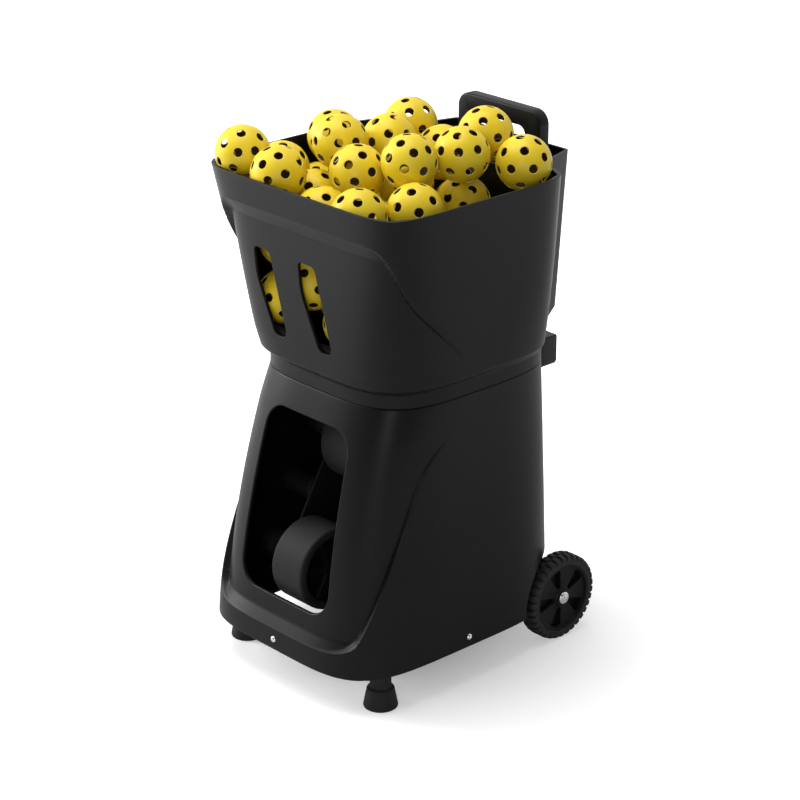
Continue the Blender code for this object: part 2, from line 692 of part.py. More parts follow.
def transport_wheels():
    inner_face = WHEEL_FACE_X - TYRE_WIDTH
    shoulder = WHEEL_RADIUS - TYRE_SHOULDER
    rim_width = TYRE_WIDTH - 0.002
    for side, label in ((-1, "left"), (1, "right")):
        centre_x = side * (WHEEL_FACE_X - TYRE_WIDTH / 2)
        place = (centre_x, WHEEL_Y, WHEEL_RADIUS)
        half = rim_width / 2
        flange = RIM_RADIUS - RIM_FLANGE
        profile = [(AXLE_RADIUS + GAP, half), (HUB_RADIUS, half), (HUB_RADIUS + 0.002, half - DISH_DEPTH),
                   (flange - 0.001, half - DISH_DEPTH), (flange, half), (RIM_RADIUS, half), (RIM_RADIUS, -half),
                   (flange - 0.002, -half), (flange - 0.004, -half + 0.010), (AXLE_RADIUS + GAP, -half + 0.010)]
        rim = turned(f"rim_{label}", profile, "X", place, 24, closed=True)
        if side < 0:
            rim.rotation_euler = (0.0, -math.pi / 2, 0.0)
        pockets = []
        for index in range(SPOKES):
            pockets.append(pocket_outline(2 * math.pi * index / SPOKES + POCKET_TURN))
        face = WHEEL_FACE_X - 0.001
        ends = (face - 0.011, face + 0.02)
        low, high = ends if side > 0 else (-ends[1], -ends[0])
        combine(rim, [flat(f"spoke_pockets_{label}", pockets, low, high, "X")])
        keep(rim, f"transport_rim_{label}", "wheel_plastic")
        tyre = loft(f"tyre_{label}", [tyre_ring(place, x, radius, depth) for x, radius, depth in (
            (-TYRE_WIDTH / 2, shoulder, 0.0), (-TYRE_WIDTH / 2 + 0.0045, WHEEL_RADIUS, TREAD_DEPTH),
            (TYRE_WIDTH / 2 - 0.0045, WHEEL_RADIUS, TREAD_DEPTH), (TYRE_WIDTH / 2, shoulder, 0.0))])
        bore = cylinder(f"tyre_bore_{label}", RIM_RADIUS + GAP, centre_x - TYRE_WIDTH, centre_x + TYRE_WIDTH, "X",
                        (WHEEL_Y, WHEEL_RADIUS), 24)
        keep(combine(tyre, [bore]), f"transport_tyre_{label}", "tyre_rubber", 20)
        cap = turned(f"cap_{label}", [(0.0, 0.0042), (0.0045, 0.0038), (CAP_RADIUS, 0.0018), (CAP_RADIUS, 0.0),
                                      (0.0, 0.0)], "X", (side * (WHEEL_FACE_X - 0.001 + GAP), WHEEL_Y, WHEEL_RADIUS), 16)
        if side < 0:
            cap.rotation_euler = (0.0, -math.pi / 2, 0.0)
        keep(cap, f"axle_cap_{label}", "bright_steel")
    axle_end = WHEEL_FACE_X - 0.001
    axle = turned("axle", [(0.0, axle_end), (AXLE_RADIUS - 0.0008, axle_end), (AXLE_RADIUS, axle_end - 0.0008),
                           (AXLE_RADIUS, -axle_end + 0.0008), (AXLE_RADIUS - 0.0008, -axle_end), (0.0, -axle_end)],
                  "X", (0.0, WHEEL_Y, WHEEL_RADIUS), 14)
    keep(axle, "rear_axle", "bright_steel")


def pocket_outline(turn):
    """One wedge-shaped pocket between two spokes, in (y, z) about the axle."""
    points = []
    for radius, spreads in ((HUB_RADIUS + 0.003, (-0.18, 0.18)), (RIM_RADIUS - RIM_FLANGE - 0.0015, (0.24, 0, -0.24))):
        for spread in spreads:
            points.append((WHEEL_Y + radius * math.cos(turn + spread), WHEEL_RADIUS + radius * math.sin(turn + spread)))
    return points


def tyre_ring(place, offset, radius, depth):
    """A tyre outline with its blocks and grooves, at one station across the tyre."""
    points = []
    turn = 2 * math.pi / TREAD_BLOCKS
    for block in range(TREAD_BLOCKS):
        for share, level in ((0.0, radius), (0.62, radius), (0.81, radius - depth)):
            angle = (block + share) * turn
            points.append((place[0] + offset, place[1] + level * math.cos(angle), place[2] + level * math.sin(angle)))
    return points


def feet():
    for side, label in ((-1, "left"), (1, "right")):
        foot = turned(f"foot_{label}", [
            (0.0, TRAY_Z - GAP), (FOOT_NECK_RADIUS - 0.001, TRAY_Z - GAP), (FOOT_NECK_RADIUS, TRAY_Z - 0.002),
            (FOOT_NECK_RADIUS, FOOT_HEIGHT + 0.002), (FOOT_NECK_RADIUS + 0.0030, FOOT_HEIGHT),
            (FOOT_NECK_RADIUS + 0.0042, FOOT_HEIGHT - 0.0015), (FOOT_RADIUS, 0.0025), (FOOT_RADIUS - 0.0015, 0.0),
            (0.0, 0.0)], "Z", (side * FOOT_X, FOOT_Y, 0.0), 18)
        keep(foot, f"front_foot_{label}", "soft_rubber")


def chassis_tray():
    top = TRAY_Z + TRAY_THICKNESS
    tray = loft("tray", [base_ring(z, TRAY_EDGE) for z in (TRAY_Z - TRAY_LIP, top)])
    cuts = [loft("tray_underside", [base_ring(z, TRAY_EDGE + TRAY_LIP_THICKNESS)
                                    for z in (TRAY_Z - TRAY_LIP - 0.01, TRAY_Z)])]
    cuts.append(flat("tray_mouth", [fillet([
        (-TRAY_MOUTH_HALF_WIDTH, TRAY_MOUTH_FRONT, 0.02), (TRAY_MOUTH_HALF_WIDTH, TRAY_MOUTH_FRONT, 0.02),
        (TRAY_MOUTH_HALF_WIDTH, TRAY_MOUTH_BACK, 0.02), (-TRAY_MOUTH_HALF_WIDTH, TRAY_MOUTH_BACK, 0.02)], 3)],
        TRAY_Z - 0.01, top + 0.01, "Z"))
    cuts += [wheel_arch(f"tray_arch_{side}", WALL + GAP, side) for side in (-1, 1)]
    for name, axis, direction, place in screw_places():
        cuts.append(screw_hole(f"tray_hole_{name}", axis, direction, place, SCREW_SHANK_RADIUS + GAP))
    cuts.append(cylinder("tray_axle_way", AXLE_HOUSING_RADIUS + GAP, -WHEEL_FACE_X, WHEEL_FACE_X, "X",
                         (WHEEL_Y, WHEEL_RADIUS), 18))
    keep(combine(tray, cuts), "chassis_tray", "tray_steel")


def housing_screws():
    for name, axis, direction, place in screw_places():
        head = turned(f"screw_{name}", [
            (0.0, SCREW_HEAD_HEIGHT), (0.0028, SCREW_HEAD_HEIGHT - 0.0003), (SCREW_HEAD_RADIUS, 0.0008),
            (SCREW_HEAD_RADIUS, 0.0),
            (SCREW_SHANK_RADIUS, 0.0), (SCREW_SHANK_RADIUS, -SCREW_LENGTH), (0.0, -SCREW_LENGTH)],
            "Z", (0, 0, 0), 10)
        head.location = Vector(place)
        if axis == "Y":
            head.location.y += direction * GAP
            head.rotation_euler = (math.pi / 2, 0.0, 0.0)
        else:
            head.location.x += direction * GAP
            head.rotation_euler = (0.0, direction * math.pi / 2, 0.0)
        keep(head, f"housing_screw_{name}", "bright_steel")


# Feed

def hopper_floor():
    """Floor plate, carousel well and funnel, moulded in one piece that seats inside the hopper's collar."""
    bottom = SEAM_Z + GAP
    edge = WALL + SEAM_GROOVE + GAP
    floor = loft("floor", [hopper_ring(z, edge) for z in (bottom, COLLAR_TOP_Z, WAIST_Z, FUNNEL_TOP_Z)])
    panel = loft("floor_panel", [hopper_ring(z, edge + HOPPER_INSET(z))
                                 for z in (SEAM_Z - 0.02, HOPPER_STEP_END_Z, FUNNEL_TOP_Z + 0.02)])
    combine(floor, [panel], "INTERSECT")
    well_floor = bottom + FLOOR_THICKNESS
    well = cylinder("well", WELL_RADIUS, well_floor, FUNNEL_TOP_Z + 0.02, "Z", (0.0, CAROUSEL_Y), OUTLINE_POINTS)
    funnel = loft("funnel", [circle_ring(WELL_RADIUS - 0.001, CAROUSEL_Y, WELL_TOP_Z),
                             hopper_ring(FUNNEL_TOP_Z + 0.001, edge + STEP_DEPTH + 0.001)])
    drop = cylinder("ball_drop", CHUTE_BORE_RADIUS, bottom - 0.01, well_floor + 0.01, "Z",
                    (0.0, CAROUSEL_Y + POCKET_PITCH_RADIUS), 24)
    shaft = cylinder("floor_shaft_way", FEED_SHAFT_RADIUS + 0.001, bottom - 0.01, well_floor + 0.01, "Z",
                     (0.0, CAROUSEL_Y), 14)
    keep(combine(floor, [well, funnel, drop, shaft]), "hopper_floor", "inner_black")


def feed_carousel():
    bottom = SEAM_Z + GAP + FLOOR_THICKNESS + GAP
    place = (0.0, CAROUSEL_Y, bottom)
    rotor = turned("rotor", [
        (0.0, CAROUSEL_HEIGHT + 0.022), (0.008, CAROUSEL_HEIGHT + 0.019), (0.034, CAROUSEL_HEIGHT),
        (CAROUSEL_RADIUS - 0.002, CAROUSEL_HEIGHT), (CAROUSEL_RADIUS, CAROUSEL_HEIGHT - 0.002),
        (CAROUSEL_RADIUS, 0.0), (0.0, 0.0)], "Z", place, 30)
    cuts = []
    for index in range(CAROUSEL_POCKETS):
        turn = 2 * math.pi * (index + 0.5) / CAROUSEL_POCKETS + math.pi / 2
        centre = (POCKET_PITCH_RADIUS * math.cos(turn), CAROUSEL_Y + POCKET_PITCH_RADIUS * math.sin(turn))
        cuts.append(cylinder(f"pocket_{index}", POCKET_RADIUS, bottom - 0.01, bottom + CAROUSEL_HEIGHT + 0.01, "Z",
                             centre, 14))
    cuts.append(cylinder("rotor_bore", FEED_SHAFT_RADIUS + GAP, bottom - 0.01, bottom + 0.018 + GAP, "Z",
                         (0.0, CAROUSEL_Y), 14))
    keep(combine(rotor, cuts), "feed_carousel", "inner_black")


def feed_gearmotor():
    top = SEAM_Z
    shaft_top = SEAM_Z + 2 * GAP + FLOOR_THICKNESS + 0.018
    motor = turned("feed_motor", [
        (0.0, shaft_top), (FEED_SHAFT_RADIUS, shaft_top), (FEED_SHAFT_RADIUS, top),
        (FEED_MOTOR_RADIUS, top), (FEED_MOTOR_RADIUS, top - 0.022), (FEED_MOTOR_RADIUS - 0.004, top - 0.022),
        (FEED_MOTOR_RADIUS - 0.004, top - FEED_MOTOR_HEIGHT), (0.0, top - FEED_MOTOR_HEIGHT)],
        "Z", (0.0, CAROUSEL_Y, 0.0), 16)
    keep(motor, "feed_gearmotor", "motor_black")


def tube_along(name, points, radius):
    """A bent tube's outer form along a smooth path through the points."""
    curve = bpy.data.curves.new(name, "CURVE")
    curve.dimensions = "3D"
    curve.bevel_depth = radius
    curve.bevel_resolution = 4
    curve.resolution_u = 5
    curve.use_fill_caps = True
    spline = curve.splines.new("BEZIER")
    spline.bezier_points.add(len(points) - 1)
    for knot, (place, handle) in zip(spline.bezier_points, points):
        knot.co = place
        knot.handle_left = Vector(place) - Vector(handle)
        knot.handle_right = Vector(place) + Vector(handle)
    drawn = bpy.data.objects.new(name + "_path", curve)
    cutters.objects.link(drawn)
    return as_mesh(drawn, name)


def ball_chute():
    start = Vector((0.0, CAROUSEL_Y + POCKET_PITCH_RADIUS, SEAM_Z))
    end = Vector((0.0, 0.082, 0.268))
    down = Vector((0.0, 0.0, -0.05))
    slope = Vector((0.0, -0.030, -0.036))
    outer = tube_along("chute_outer", [(start, down), (end, slope)], CHUTE_BORE_RADIUS + CHUTE_WALL)
    bore = tube_along("chute_bore", [(start - down * 0.2, down * 1.15), (end + slope * 0.25, slope * 1.15)],
                      CHUTE_BORE_RADIUS)
    keep(combine(outer, [bore]), "ball_chute", "inner_black")


# Launcher

def yaw_stage():
    tray_top = TRAY_Z + TRAY_THICKNESS
    motor = turned("yaw_motor", [
        (0.0, TURNTABLE_Z + TURNTABLE_THICKNESS), (YAW_SHAFT_RADIUS, TURNTABLE_Z + TURNTABLE_THICKNESS),
        (YAW_SHAFT_RADIUS, TURNTABLE_Z - GAP), (YAW_MOTOR_RADIUS, TURNTABLE_Z - GAP),
        (YAW_MOTOR_RADIUS, tray_top + GAP), (0.0, tray_top + GAP)], "Z", (0.0, TURNTABLE_Y, 0.0), 16)
    keep(motor, "yaw_gearmotor", "motor_black")
    origin = (0.0, TURNTABLE_Y, TURNTABLE_Z)
    table = turned("table", [
        (YAW_SHAFT_RADIUS + GAP, TURNTABLE_THICKNESS), (TURNTABLE_RADIUS - 0.001, TURNTABLE_THICKNESS),
        (TURNTABLE_RADIUS, TURNTABLE_THICKNESS - 0.001), (TURNTABLE_RADIUS, 0.0),
        (YAW_SHAFT_RADIUS + GAP, 0.0)], "Z", origin, 20, closed=True)
    outer = UPRIGHT_X + UPRIGHT_THICKNESS
    foot_z = TURNTABLE_Z + TURNTABLE_THICKNESS * 0.5
    front = TURNTABLE_Y - 0.032
    back = TURNTABLE_Y + 0.028
    outline = fillet([
        (front, foot_z, 0), (back, foot_z, 0), (back, PITCH_Z - 0.03, 0.02), (PITCH_Y + 0.055, PITCH_Z + 0.020, 0.02),
        (PITCH_Y - 0.018, PITCH_Z + 0.020, 0.014), (PITCH_Y - 0.018, PITCH_Z - 0.022, 0.014),
        (front - 0.006, PITCH_Z - 0.032, 0.012)], 3)
    uprights = []
    for side, label in ((-1, "left"), (1, "right")):
        low, high = sorted((side * UPRIGHT_X, side * outer))
        upright = flat(f"upright_{label}", [[(y, z) for y, z in outline]], low, high, "X")
        uprights.append(upright)
    combine(table, uprights, "UNION")
    reach = THROW_SPACING / 2
    swing = LAUNCH_ANGLE - TILT_BACK
    wheel_y = PITCH_Y - reach * math.sin(swing)
    wheel_z = PITCH_Z - reach * math.cos(swing)
    table_top = TURNTABLE_Z + TURNTABLE_THICKNESS
    clear = THROW_RADIUS + CRADLE_CLEARANCE
    front_flat = wheel_y + math.sqrt(max(clear ** 2 - max(wheel_z - table_top, 0.0) ** 2, 0.0))
    combine(table, [box("table_flat", (-2 * TURNTABLE_RADIUS, TURNTABLE_Y - 2 * TURNTABLE_RADIUS, TURNTABLE_Z - 0.01),
                        (2 * TURNTABLE_RADIUS, front_flat, table_top + 0.01))])
    combine(table, [cylinder("pivot_way", PIVOT_RADIUS + GAP, -outer - UPRIGHT_THICKNESS, outer + UPRIGHT_THICKNESS,
                             "X", (PITCH_Y, PITCH_Z), 14)])
    keep(table, "yaw_turntable", "tray_steel")
    shaft_end = -(THROW_HALF_WIDTH + CRADLE_CLEARANCE)
    body_face = -(outer + GAP)
    gearmotor = turned("pitch_motor", [
        (0.0, shaft_end), (PIVOT_RADIUS, shaft_end), (PIVOT_RADIUS, body_face), (PITCH_MOTOR_RADIUS, body_face),
        (PITCH_MOTOR_RADIUS, body_face - PITCH_MOTOR_LENGTH), (0.0, body_face - PITCH_MOTOR_LENGTH)],
        "X", (0.0, PITCH_Y, PITCH_Z), 14)
    keep(gearmotor, "pitch_gearmotor", "motor_black")


def launcher_cradle(tilt):
    """Side plates and ball guide that carry both throwing wheels, drawn level and then tilted by its pivot."""
    face = THROW_HALF_WIDTH + CRADLE_CLEARANCE
    outer = face + CRADLE_PLATE
    reach = THROW_SPACING / 2
    plate_radius = THROW_MOTOR_RADIUS + 0.006
    guide_z = -(BALL_DIAMETER / 2 + 0.0015)
    back = 0.092
    plate = flat("cradle_plate", [fillet([
        (-plate_radius, -reach - plate_radius, plate_radius * 0.9), (plate_radius, -reach - plate_radius, plate_radius * 0.9),
        (plate_radius, guide_z - 0.012, 0.012), (back, guide_z - 0.012, 0.004), (back, 0.016, 0.01),
        (plate_radius, 0.030, 0.02), (plate_radius, reach + plate_radius, plate_radius * 0.9),
        (-plate_radius, reach + plate_radius, plate_radius * 0.9)], 3)], -outer, -face, "X")
    arm = flat("cradle_arm", [fillet([
        (-0.016, -0.016, 0.014), (0.040, -0.016, 0.004), (0.052, guide_z - 0.004, 0.004), (back, guide_z - 0.004, 0.004),
        (back, 0.016, 0.01), (-0.016, 0.016, 0.014)], 3)], face, outer, "X")
    guide_start = math.sqrt(max(THROW_RADIUS ** 2 - (reach + guide_z - 0.0045) ** 2, 0)) + 0.003
    guide = box("cradle_guide", (-outer + 0.001, guide_start, guide_z - 0.004), (outer - 0.001, back, guide_z))
    pin = cylinder("cradle_pin", PIVOT_RADIUS, face + 0.001, UPRIGHT_X + UPRIGHT_THICKNESS, "X", (0.0, 0.0), 14)
    combine(plate, [guide, arm, pin], "UNION")
    holes = [cylinder("pitch_shaft_way", PIVOT_RADIUS + GAP, -outer - 0.01, -face + 0.01, "X", (0.0, 0.0), 14)]
    for level in (-1, 1):
        holes.append(cylinder(f"motor_way_{level}", THROW_SHAFT_RADIUS + 0.001, -outer - 0.01, -face + 0.01, "X",
                              (0.0, level * reach), 12))
    combine(plate, holes)
    for piece in [guide, arm, pin, *holes]:
        piece.parent = tilt
    plate.parent = tilt
    keep(plate, "launcher_cradle", "tray_steel")


def throwing_wheels(tilt):
    face = THROW_HALF_WIDTH + CRADLE_CLEARANCE
    outer = face + CRADLE_PLATE
    for level, label in ((-1, "lower"), (1, "upper")):
        centre = (0.0, 0.0, level * THROW_SPACING / 2)
        half = THROW_HALF_WIDTH
        web = THROW_RADIUS - THROW_RIM
        wheel = turned(f"wheel_{label}", [
            (THROW_SHAFT_RADIUS + GAP, half - 0.004), (0.013, half - 0.004), (0.016, half - 0.016),
            (web - 0.002, half - 0.016), (web, half), (THROW_RADIUS - 0.003, half), (THROW_RADIUS, half - 0.003),
            (THROW_RADIUS, -half + 0.003), (THROW_RADIUS - 0.003, -half), (web, -half), (web - 0.002, -half + 0.012),
            (THROW_SHAFT_RADIUS + GAP, -half + 0.012)],
            "X", centre, 22, closed=True)
        wheel.parent = tilt
        keep(wheel, f"{label}_throwing_wheel", "throwing_rubber")
        body_face = -(outer + GAP)
        shaft_end = half - 0.006
        motor = turned(f"throw_motor_{label}", [
            (0.0, shaft_end), (THROW_SHAFT_RADIUS, shaft_end), (THROW_SHAFT_RADIUS, body_face),
            (THROW_MOTOR_RADIUS, body_face), (THROW_MOTOR_RADIUS, body_face - 0.045),
            (THROW_MOTOR_RADIUS - 0.004, body_face - THROW_MOTOR_LENGTH), (0.0, body_face - THROW_MOTOR_LENGTH)],
            "X", centre, 14)
        motor.parent = tilt
        keep(motor, f"{label}_throwing_motor", "motor_black")


# Battery and rear panel

def battery():
    width, depth, height = BATTERY_SIZE
    low_z = TRAY_Z + TRAY_THICKNESS + GAP
    pack = box("pack", (-width / 2, BATTERY_Y - depth / 2, low_z), (width / 2, BATTERY_Y + depth / 2, low_z + height))
    bevel = pack.modifiers.new("Rounded edges", "BEVEL")
    bevel.width = 0.004
    bevel.segments = 2
    keep(pack, "battery_pack", "battery_case")


def rear_panel():
    edges = [PANEL_Z + side * (PANEL_HEIGHT / 2 + PANEL_LIP) for side in (-1, 1)]
    inner = min(back_wall(PANEL_WIDTH / 2 + PANEL_LIP, z, WALL) for z in edges) - GAP
    face_y = max(back_wall(0.0, z) for z in edges) + 0.0012
    plate = flat("panel_plate", [panel_outline()], inner - 0.004, face_y, "Y")
    flange = flat("panel_flange", [panel_outline(PANEL_LIP)], inner - 0.003, inner, "Y")
    case = box("panel_case", (-PANEL_WIDTH / 2 + 0.003, inner - PANEL_DEPTH, PANEL_Z - PANEL_HEIGHT / 2 + 0.003),
               (PANEL_WIDTH / 2 - 0.003, inner - 0.002, PANEL_Z + PANEL_HEIGHT / 2 - 0.003))
    combine(plate, [flange, case], "UNION")
    pocket_half = SWITCH_HEIGHT / 2 + 0.0008
    switch_pocket = box("switch_pocket", (SWITCH_X - SWITCH_WIDTH / 2 - GAP, face_y - 0.014, PANEL_Z - pocket_half),
                        (SWITCH_X + SWITCH_WIDTH / 2 + GAP, face_y + 0.01, PANEL_Z + pocket_half))
    socket_way = cylinder("socket_way", SOCKET_RADIUS + GAP, face_y - 0.014, face_y + 0.01, "Y",
                          (SOCKET_X, PANEL_Z), 16)
    keep(combine(plate, [switch_pocket, socket_way]), "control_panel", "inner_black")
    axis_y = face_y - 0.005
    rocker = flat("rocker", [fillet([
        (-0.0065, -SWITCH_HEIGHT / 2 + 0.004, 0.002), (-0.0065, SWITCH_HEIGHT / 2 - 0.004, 0.002),
        (0.0055, SWITCH_HEIGHT / 2 - 0.0014, 0.0012), (0.0038, 0.0, 0), (0.0055, -SWITCH_HEIGHT / 2 + 0.0014, 0.0012)],
        2)], -SWITCH_WIDTH / 2, SWITCH_WIDTH / 2, "X")
    rocker.location = (SWITCH_X, axis_y, PANEL_Z)
    rocker.rotation_euler = (math.pi / 2, SWITCH_TILT, math.pi / 2)
    keep(rocker, "power_switch", "wheel_plastic")
    socket = turned("socket", [
        (0.0, -0.008), (0.0035, -0.008), (0.0035, 0.0025), (0.0085, 0.0025), (0.0085, GAP), (SOCKET_RADIUS, GAP),
        (SOCKET_RADIUS, -0.0135), (0.0, -0.0135)], "Z", (SOCKET_X, face_y, PANEL_Z), 14)
    socket.rotation_euler = (-math.pi / 2, 0.0, 0.0)
    keep(socket, "charge_socket", "bright_steel")


# Telescopic handle

def handle():
    heights = [z for z in BASE_STATIONS if z > BRACKET_BOTTOM_Z - 0.08] + [COLLAR_TOP_Z, WAIST_Z]
    body = loft("bracket_seat", [(base_ring if z <= SEAM_Z else hopper_ring)(z, -GAP) for z in heights])
    outline = fillet([(-BRACKET_HALF_WIDTH, BRACKET_BOTTOM_Z, 0.007), (BRACKET_HALF_WIDTH, BRACKET_BOTTOM_Z, 0.007),
                      (BRACKET_HALF_WIDTH, BRACKET_TOP_Z, 0.002), (-BRACKET_HALF_WIDTH, BRACKET_TOP_Z, 0.002)], 2)
    bracket = flat("bracket", [outline], SEAM_SECTION[2] - 0.03, BRACKET_BACK_Y, "Y")
    combine(bracket, [body])
    for side in (-1, 1):
        combine(bracket, [cylinder(f"bracket_socket_{side}", OUTER_TUBE_RADIUS + GAP, BRACKET_BOTTOM_Z + 0.008,
                                   BRACKET_TOP_Z + 0.02, "Z", (side * TUBE_X, TUBE_Y), 18)])
    keep(bracket, "handle_bracket", "moulded_black")
    half = GRIP_HALF_WIDTH
    inner = half - GRIP_LEG
    bar_bottom = GRIP_TOP_Z - GRIP_BAR
    grip = flat("grip", [fillet([
        (-half, GRIP_BOTTOM_Z, 0.003), (-inner, GRIP_BOTTOM_Z, 0.003), (-inner, bar_bottom, 0.012),
        (inner, bar_bottom, 0.012), (inner, GRIP_BOTTOM_Z, 0.003), (half, GRIP_BOTTOM_Z, 0.003),
        (half, GRIP_TOP_Z, 0.020), (-half, GRIP_TOP_Z, 0.020)], 3)],
        TUBE_Y - GRIP_DEPTH / 2, TUBE_Y + GRIP_DEPTH / 2, "Y")
    bevel = grip.modifiers.new("Rounded edges", "BEVEL")
    bevel.width = 0.0028
    bevel.segments = 2
    bevel.limit_method = "ANGLE"
    bevel.angle_limit = math.radians(60)
    sockets = [cylinder(f"grip_socket_{side}", INNER_TUBE_RADIUS + GAP, GRIP_BOTTOM_Z - 0.01, GRIP_BOTTOM_Z + GRIP_SOCKET,
                        "Z", (side * TUBE_X, TUBE_Y), 18) for side in (-1, 1)]
    keep(combine(grip, sockets), "handle_grip", "moulded_black")
    outer_bottom = BRACKET_BOTTOM_Z + 0.008 + GAP
    for side, label in ((-1, "left"), (1, "right")):
        bore = OUTER_TUBE_RADIUS - TUBE_WALL
        tube = turned(f"outer_tube_{label}", [
            (bore, OUTER_TUBE_TOP_Z), (OUTER_TUBE_RADIUS, OUTER_TUBE_TOP_Z), (OUTER_TUBE_RADIUS, outer_bottom),
            (bore, outer_bottom)], "Z", (side * TUBE_X, TUBE_Y, 0.0), 18, closed=True)
        keep(tube, f"handle_outer_tube_{label}", "tube_aluminium")
        top = GRIP_BOTTOM_Z + GRIP_SOCKET - GAP
        rod = turned(f"inner_tube_{label}", [
            (0.0, top), (INNER_TUBE_RADIUS, top), (INNER_TUBE_RADIUS, INNER_TUBE_BOTTOM_Z),
            (0.0, INNER_TUBE_BOTTOM_Z)], "Z", (side * TUBE_X, TUBE_Y, 0.0), 18)
        keep(rod, f"handle_inner_tube_{label}", "tube_aluminium")


# Balls

def funnel_height(x, y):
    """Height of the funnel's surface under a point, between the well's edge and the hopper wall."""
    bearing = math.atan2(y - CAROUSEL_Y, x)
    index = round(bearing / (2 * math.pi) * OUTLINE_POINTS) % OUTLINE_POINTS
    far = hopper_ring(FUNNEL_TOP_Z, WALL + STEP_DEPTH)[index]
    span = math.hypot(far[0], far[1] - CAROUSEL_Y) - WELL_RADIUS
    share = (math.hypot(x, y - CAROUSEL_Y) - WELL_RADIUS) / span
    return lerp(WELL_TOP_Z, FUNNEL_TOP_Z, min(max(share, 0.0), 1.0))


def walls_near(place):
    """Yields the hopper's walls round a ball: inward normal, distance, distance needed and drop of the contact."""
    radius = BALL_DIAMETER / 2 + GAP
    lean = math.atan2(RIM_SECTION[0] - WAIST_SECTION[0], RIM_Z - WAIST_Z)
    over_rim = max(place.z - RIM_Z, 0.0)
    ledge = min(RIM_BAND_Z - RIM_LEDGE_DROP, place.z)
    over_ledge = place.z - ledge
    outlines = [(hopper_ring(min(place.z, RIM_Z), WALL), over_rim, math.inf),
                (hopper_ring(ledge, WALL + max(HOPPER_INSET(ledge), 0.0)), over_ledge, CREASE_DEPTH)]
    for outline, height, behind in outlines:
        if height >= radius:
            continue
        needed = math.sqrt(radius ** 2 - height ** 2) / math.cos(lean)
        drop = max(height / radius, math.sin(lean))
        for first, second in zip(outline, outline[1:] + outline[:1]):
            if max(first[1], second[1]) <= behind:
                start = Vector(first[:2])
                along = (Vector(second[:2]) - start).normalized()
                inward = Vector((-along.y, along.x))
                yield inward, (Vector(place[:2]) - start).dot(inward), needed, drop


def keep_inside(place):
    """Moves a ball's centre in until the ball clears the hopper's walls, its front ledge, its rim and the funnel."""
    for inward, distance, needed, _ in walls_near(place):
        short = needed - distance
        if short > 0:
            place.x += inward.x * short
            place.y += inward.y * short
    place.z = max(place.z, funnel_height(place.x, place.y) + (BALL_DIAMETER / 2 + GAP) * FUNNEL_SLACK)


def settled(spots):
    """The balls' centres, eased apart from their rough spots until none presses on another or on the hopper."""
    places = [Vector((x, y, RIM_Z + above)) for x, y, above in spots]
    for _ in range(BALL_SWEEPS):
        for index, place in enumerate(places):
            for other in places[:index]:
                apart = place - other
                short = BALL_REACH - apart.length
                if short > 0:
                    push = apart.normalized() * (short / 2)
                    place += push
                    other -= push
        for place in places:
            keep_inside(place)
    return places


def ball_mesh(name, contacts):
    """A coarse ball with a corner at each point where it touches something, so that it still touches it there."""
    mesh = bpy.data.meshes.new(name)
    work = bmesh.new()
    bmesh.ops.create_uvsphere(work, u_segments=12, v_segments=6, radius=BALL_DIAMETER / 2)
    for direction in contacts:
        bmesh.ops.create_vert(work, co=direction * (BALL_DIAMETER / 2))
    bmesh.ops.delete(work, geom=work.edges[:] + work.faces[:], context="EDGES_FACES")
    bmesh.ops.convex_hull(work, input=work.verts[:])
    work.to_mesh(mesh)
    work.free()
    return mesh


def balls():
    places = settled(BALL_SPOTS)
    for index, place in enumerate(places):
        contacts = [(other - place).normalized() for other in places
                    if other is not place and (other - place).length < BALL_REACH + GAP]
        for inward, distance, needed, drop in walls_near(place):
            if distance - needed < GAP:
                level = math.sqrt(1 - drop ** 2)
                contacts.append(Vector((-inward.x * level, -inward.y * level, -drop)))
        name = f"ball_{index + 1:02d}"
        ball = solid(name, ball_mesh(name, contacts))
        ball.location = place
        keep(ball, name, "ball_yellow", 60)


def build():
    global parts, cutters
    for thing in list(bpy.data.objects):
        bpy.data.objects.remove(thing)
    parts = bpy.data.collections.new(OBJECT_NAME)
    cutters = bpy.data.collections.new("cutters")
    bpy.context.scene.collection.children.link(parts)
    bpy.context.scene.collection.children.link(cutters)
    base_housing()
    hopper_shell()
    chassis_tray()
    feet()
    transport_wheels()
    housing_screws()
    hopper_floor()
    feed_carousel()
    feed_gearmotor()
    ball_chute()
    yaw_stage()
    tilt = pivot("pitch_axis", (0.0, PITCH_Y, PITCH_Z), -LAUNCH_ANGLE)
    launcher_cradle(tilt)
    throwing_wheels(tilt)
    battery()
    rear_panel()
    handle()
    balls()
    front = screw_places()[0][3][1] - GAP - SCREW_HEAD_HEIGHT
    centre_y = (front + WHEEL_Y + WHEEL_RADIUS) / 2
    for thing in [*parts.objects, *cutters.objects]:
        if thing.parent is None:
            thing.location.y -= centre_y


build()
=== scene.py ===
"""A pickleball machine: how it looks, piece by piece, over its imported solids.

Metres, +Z up, ground at Z = 0. The outlet window faces -Y, the handle and the wheels are at +Y.
"""
import math

import bmesh
import bpy
import numpy as np
from mathutils import Matrix, Vector
from mathutils.bvhtree import BVHTree


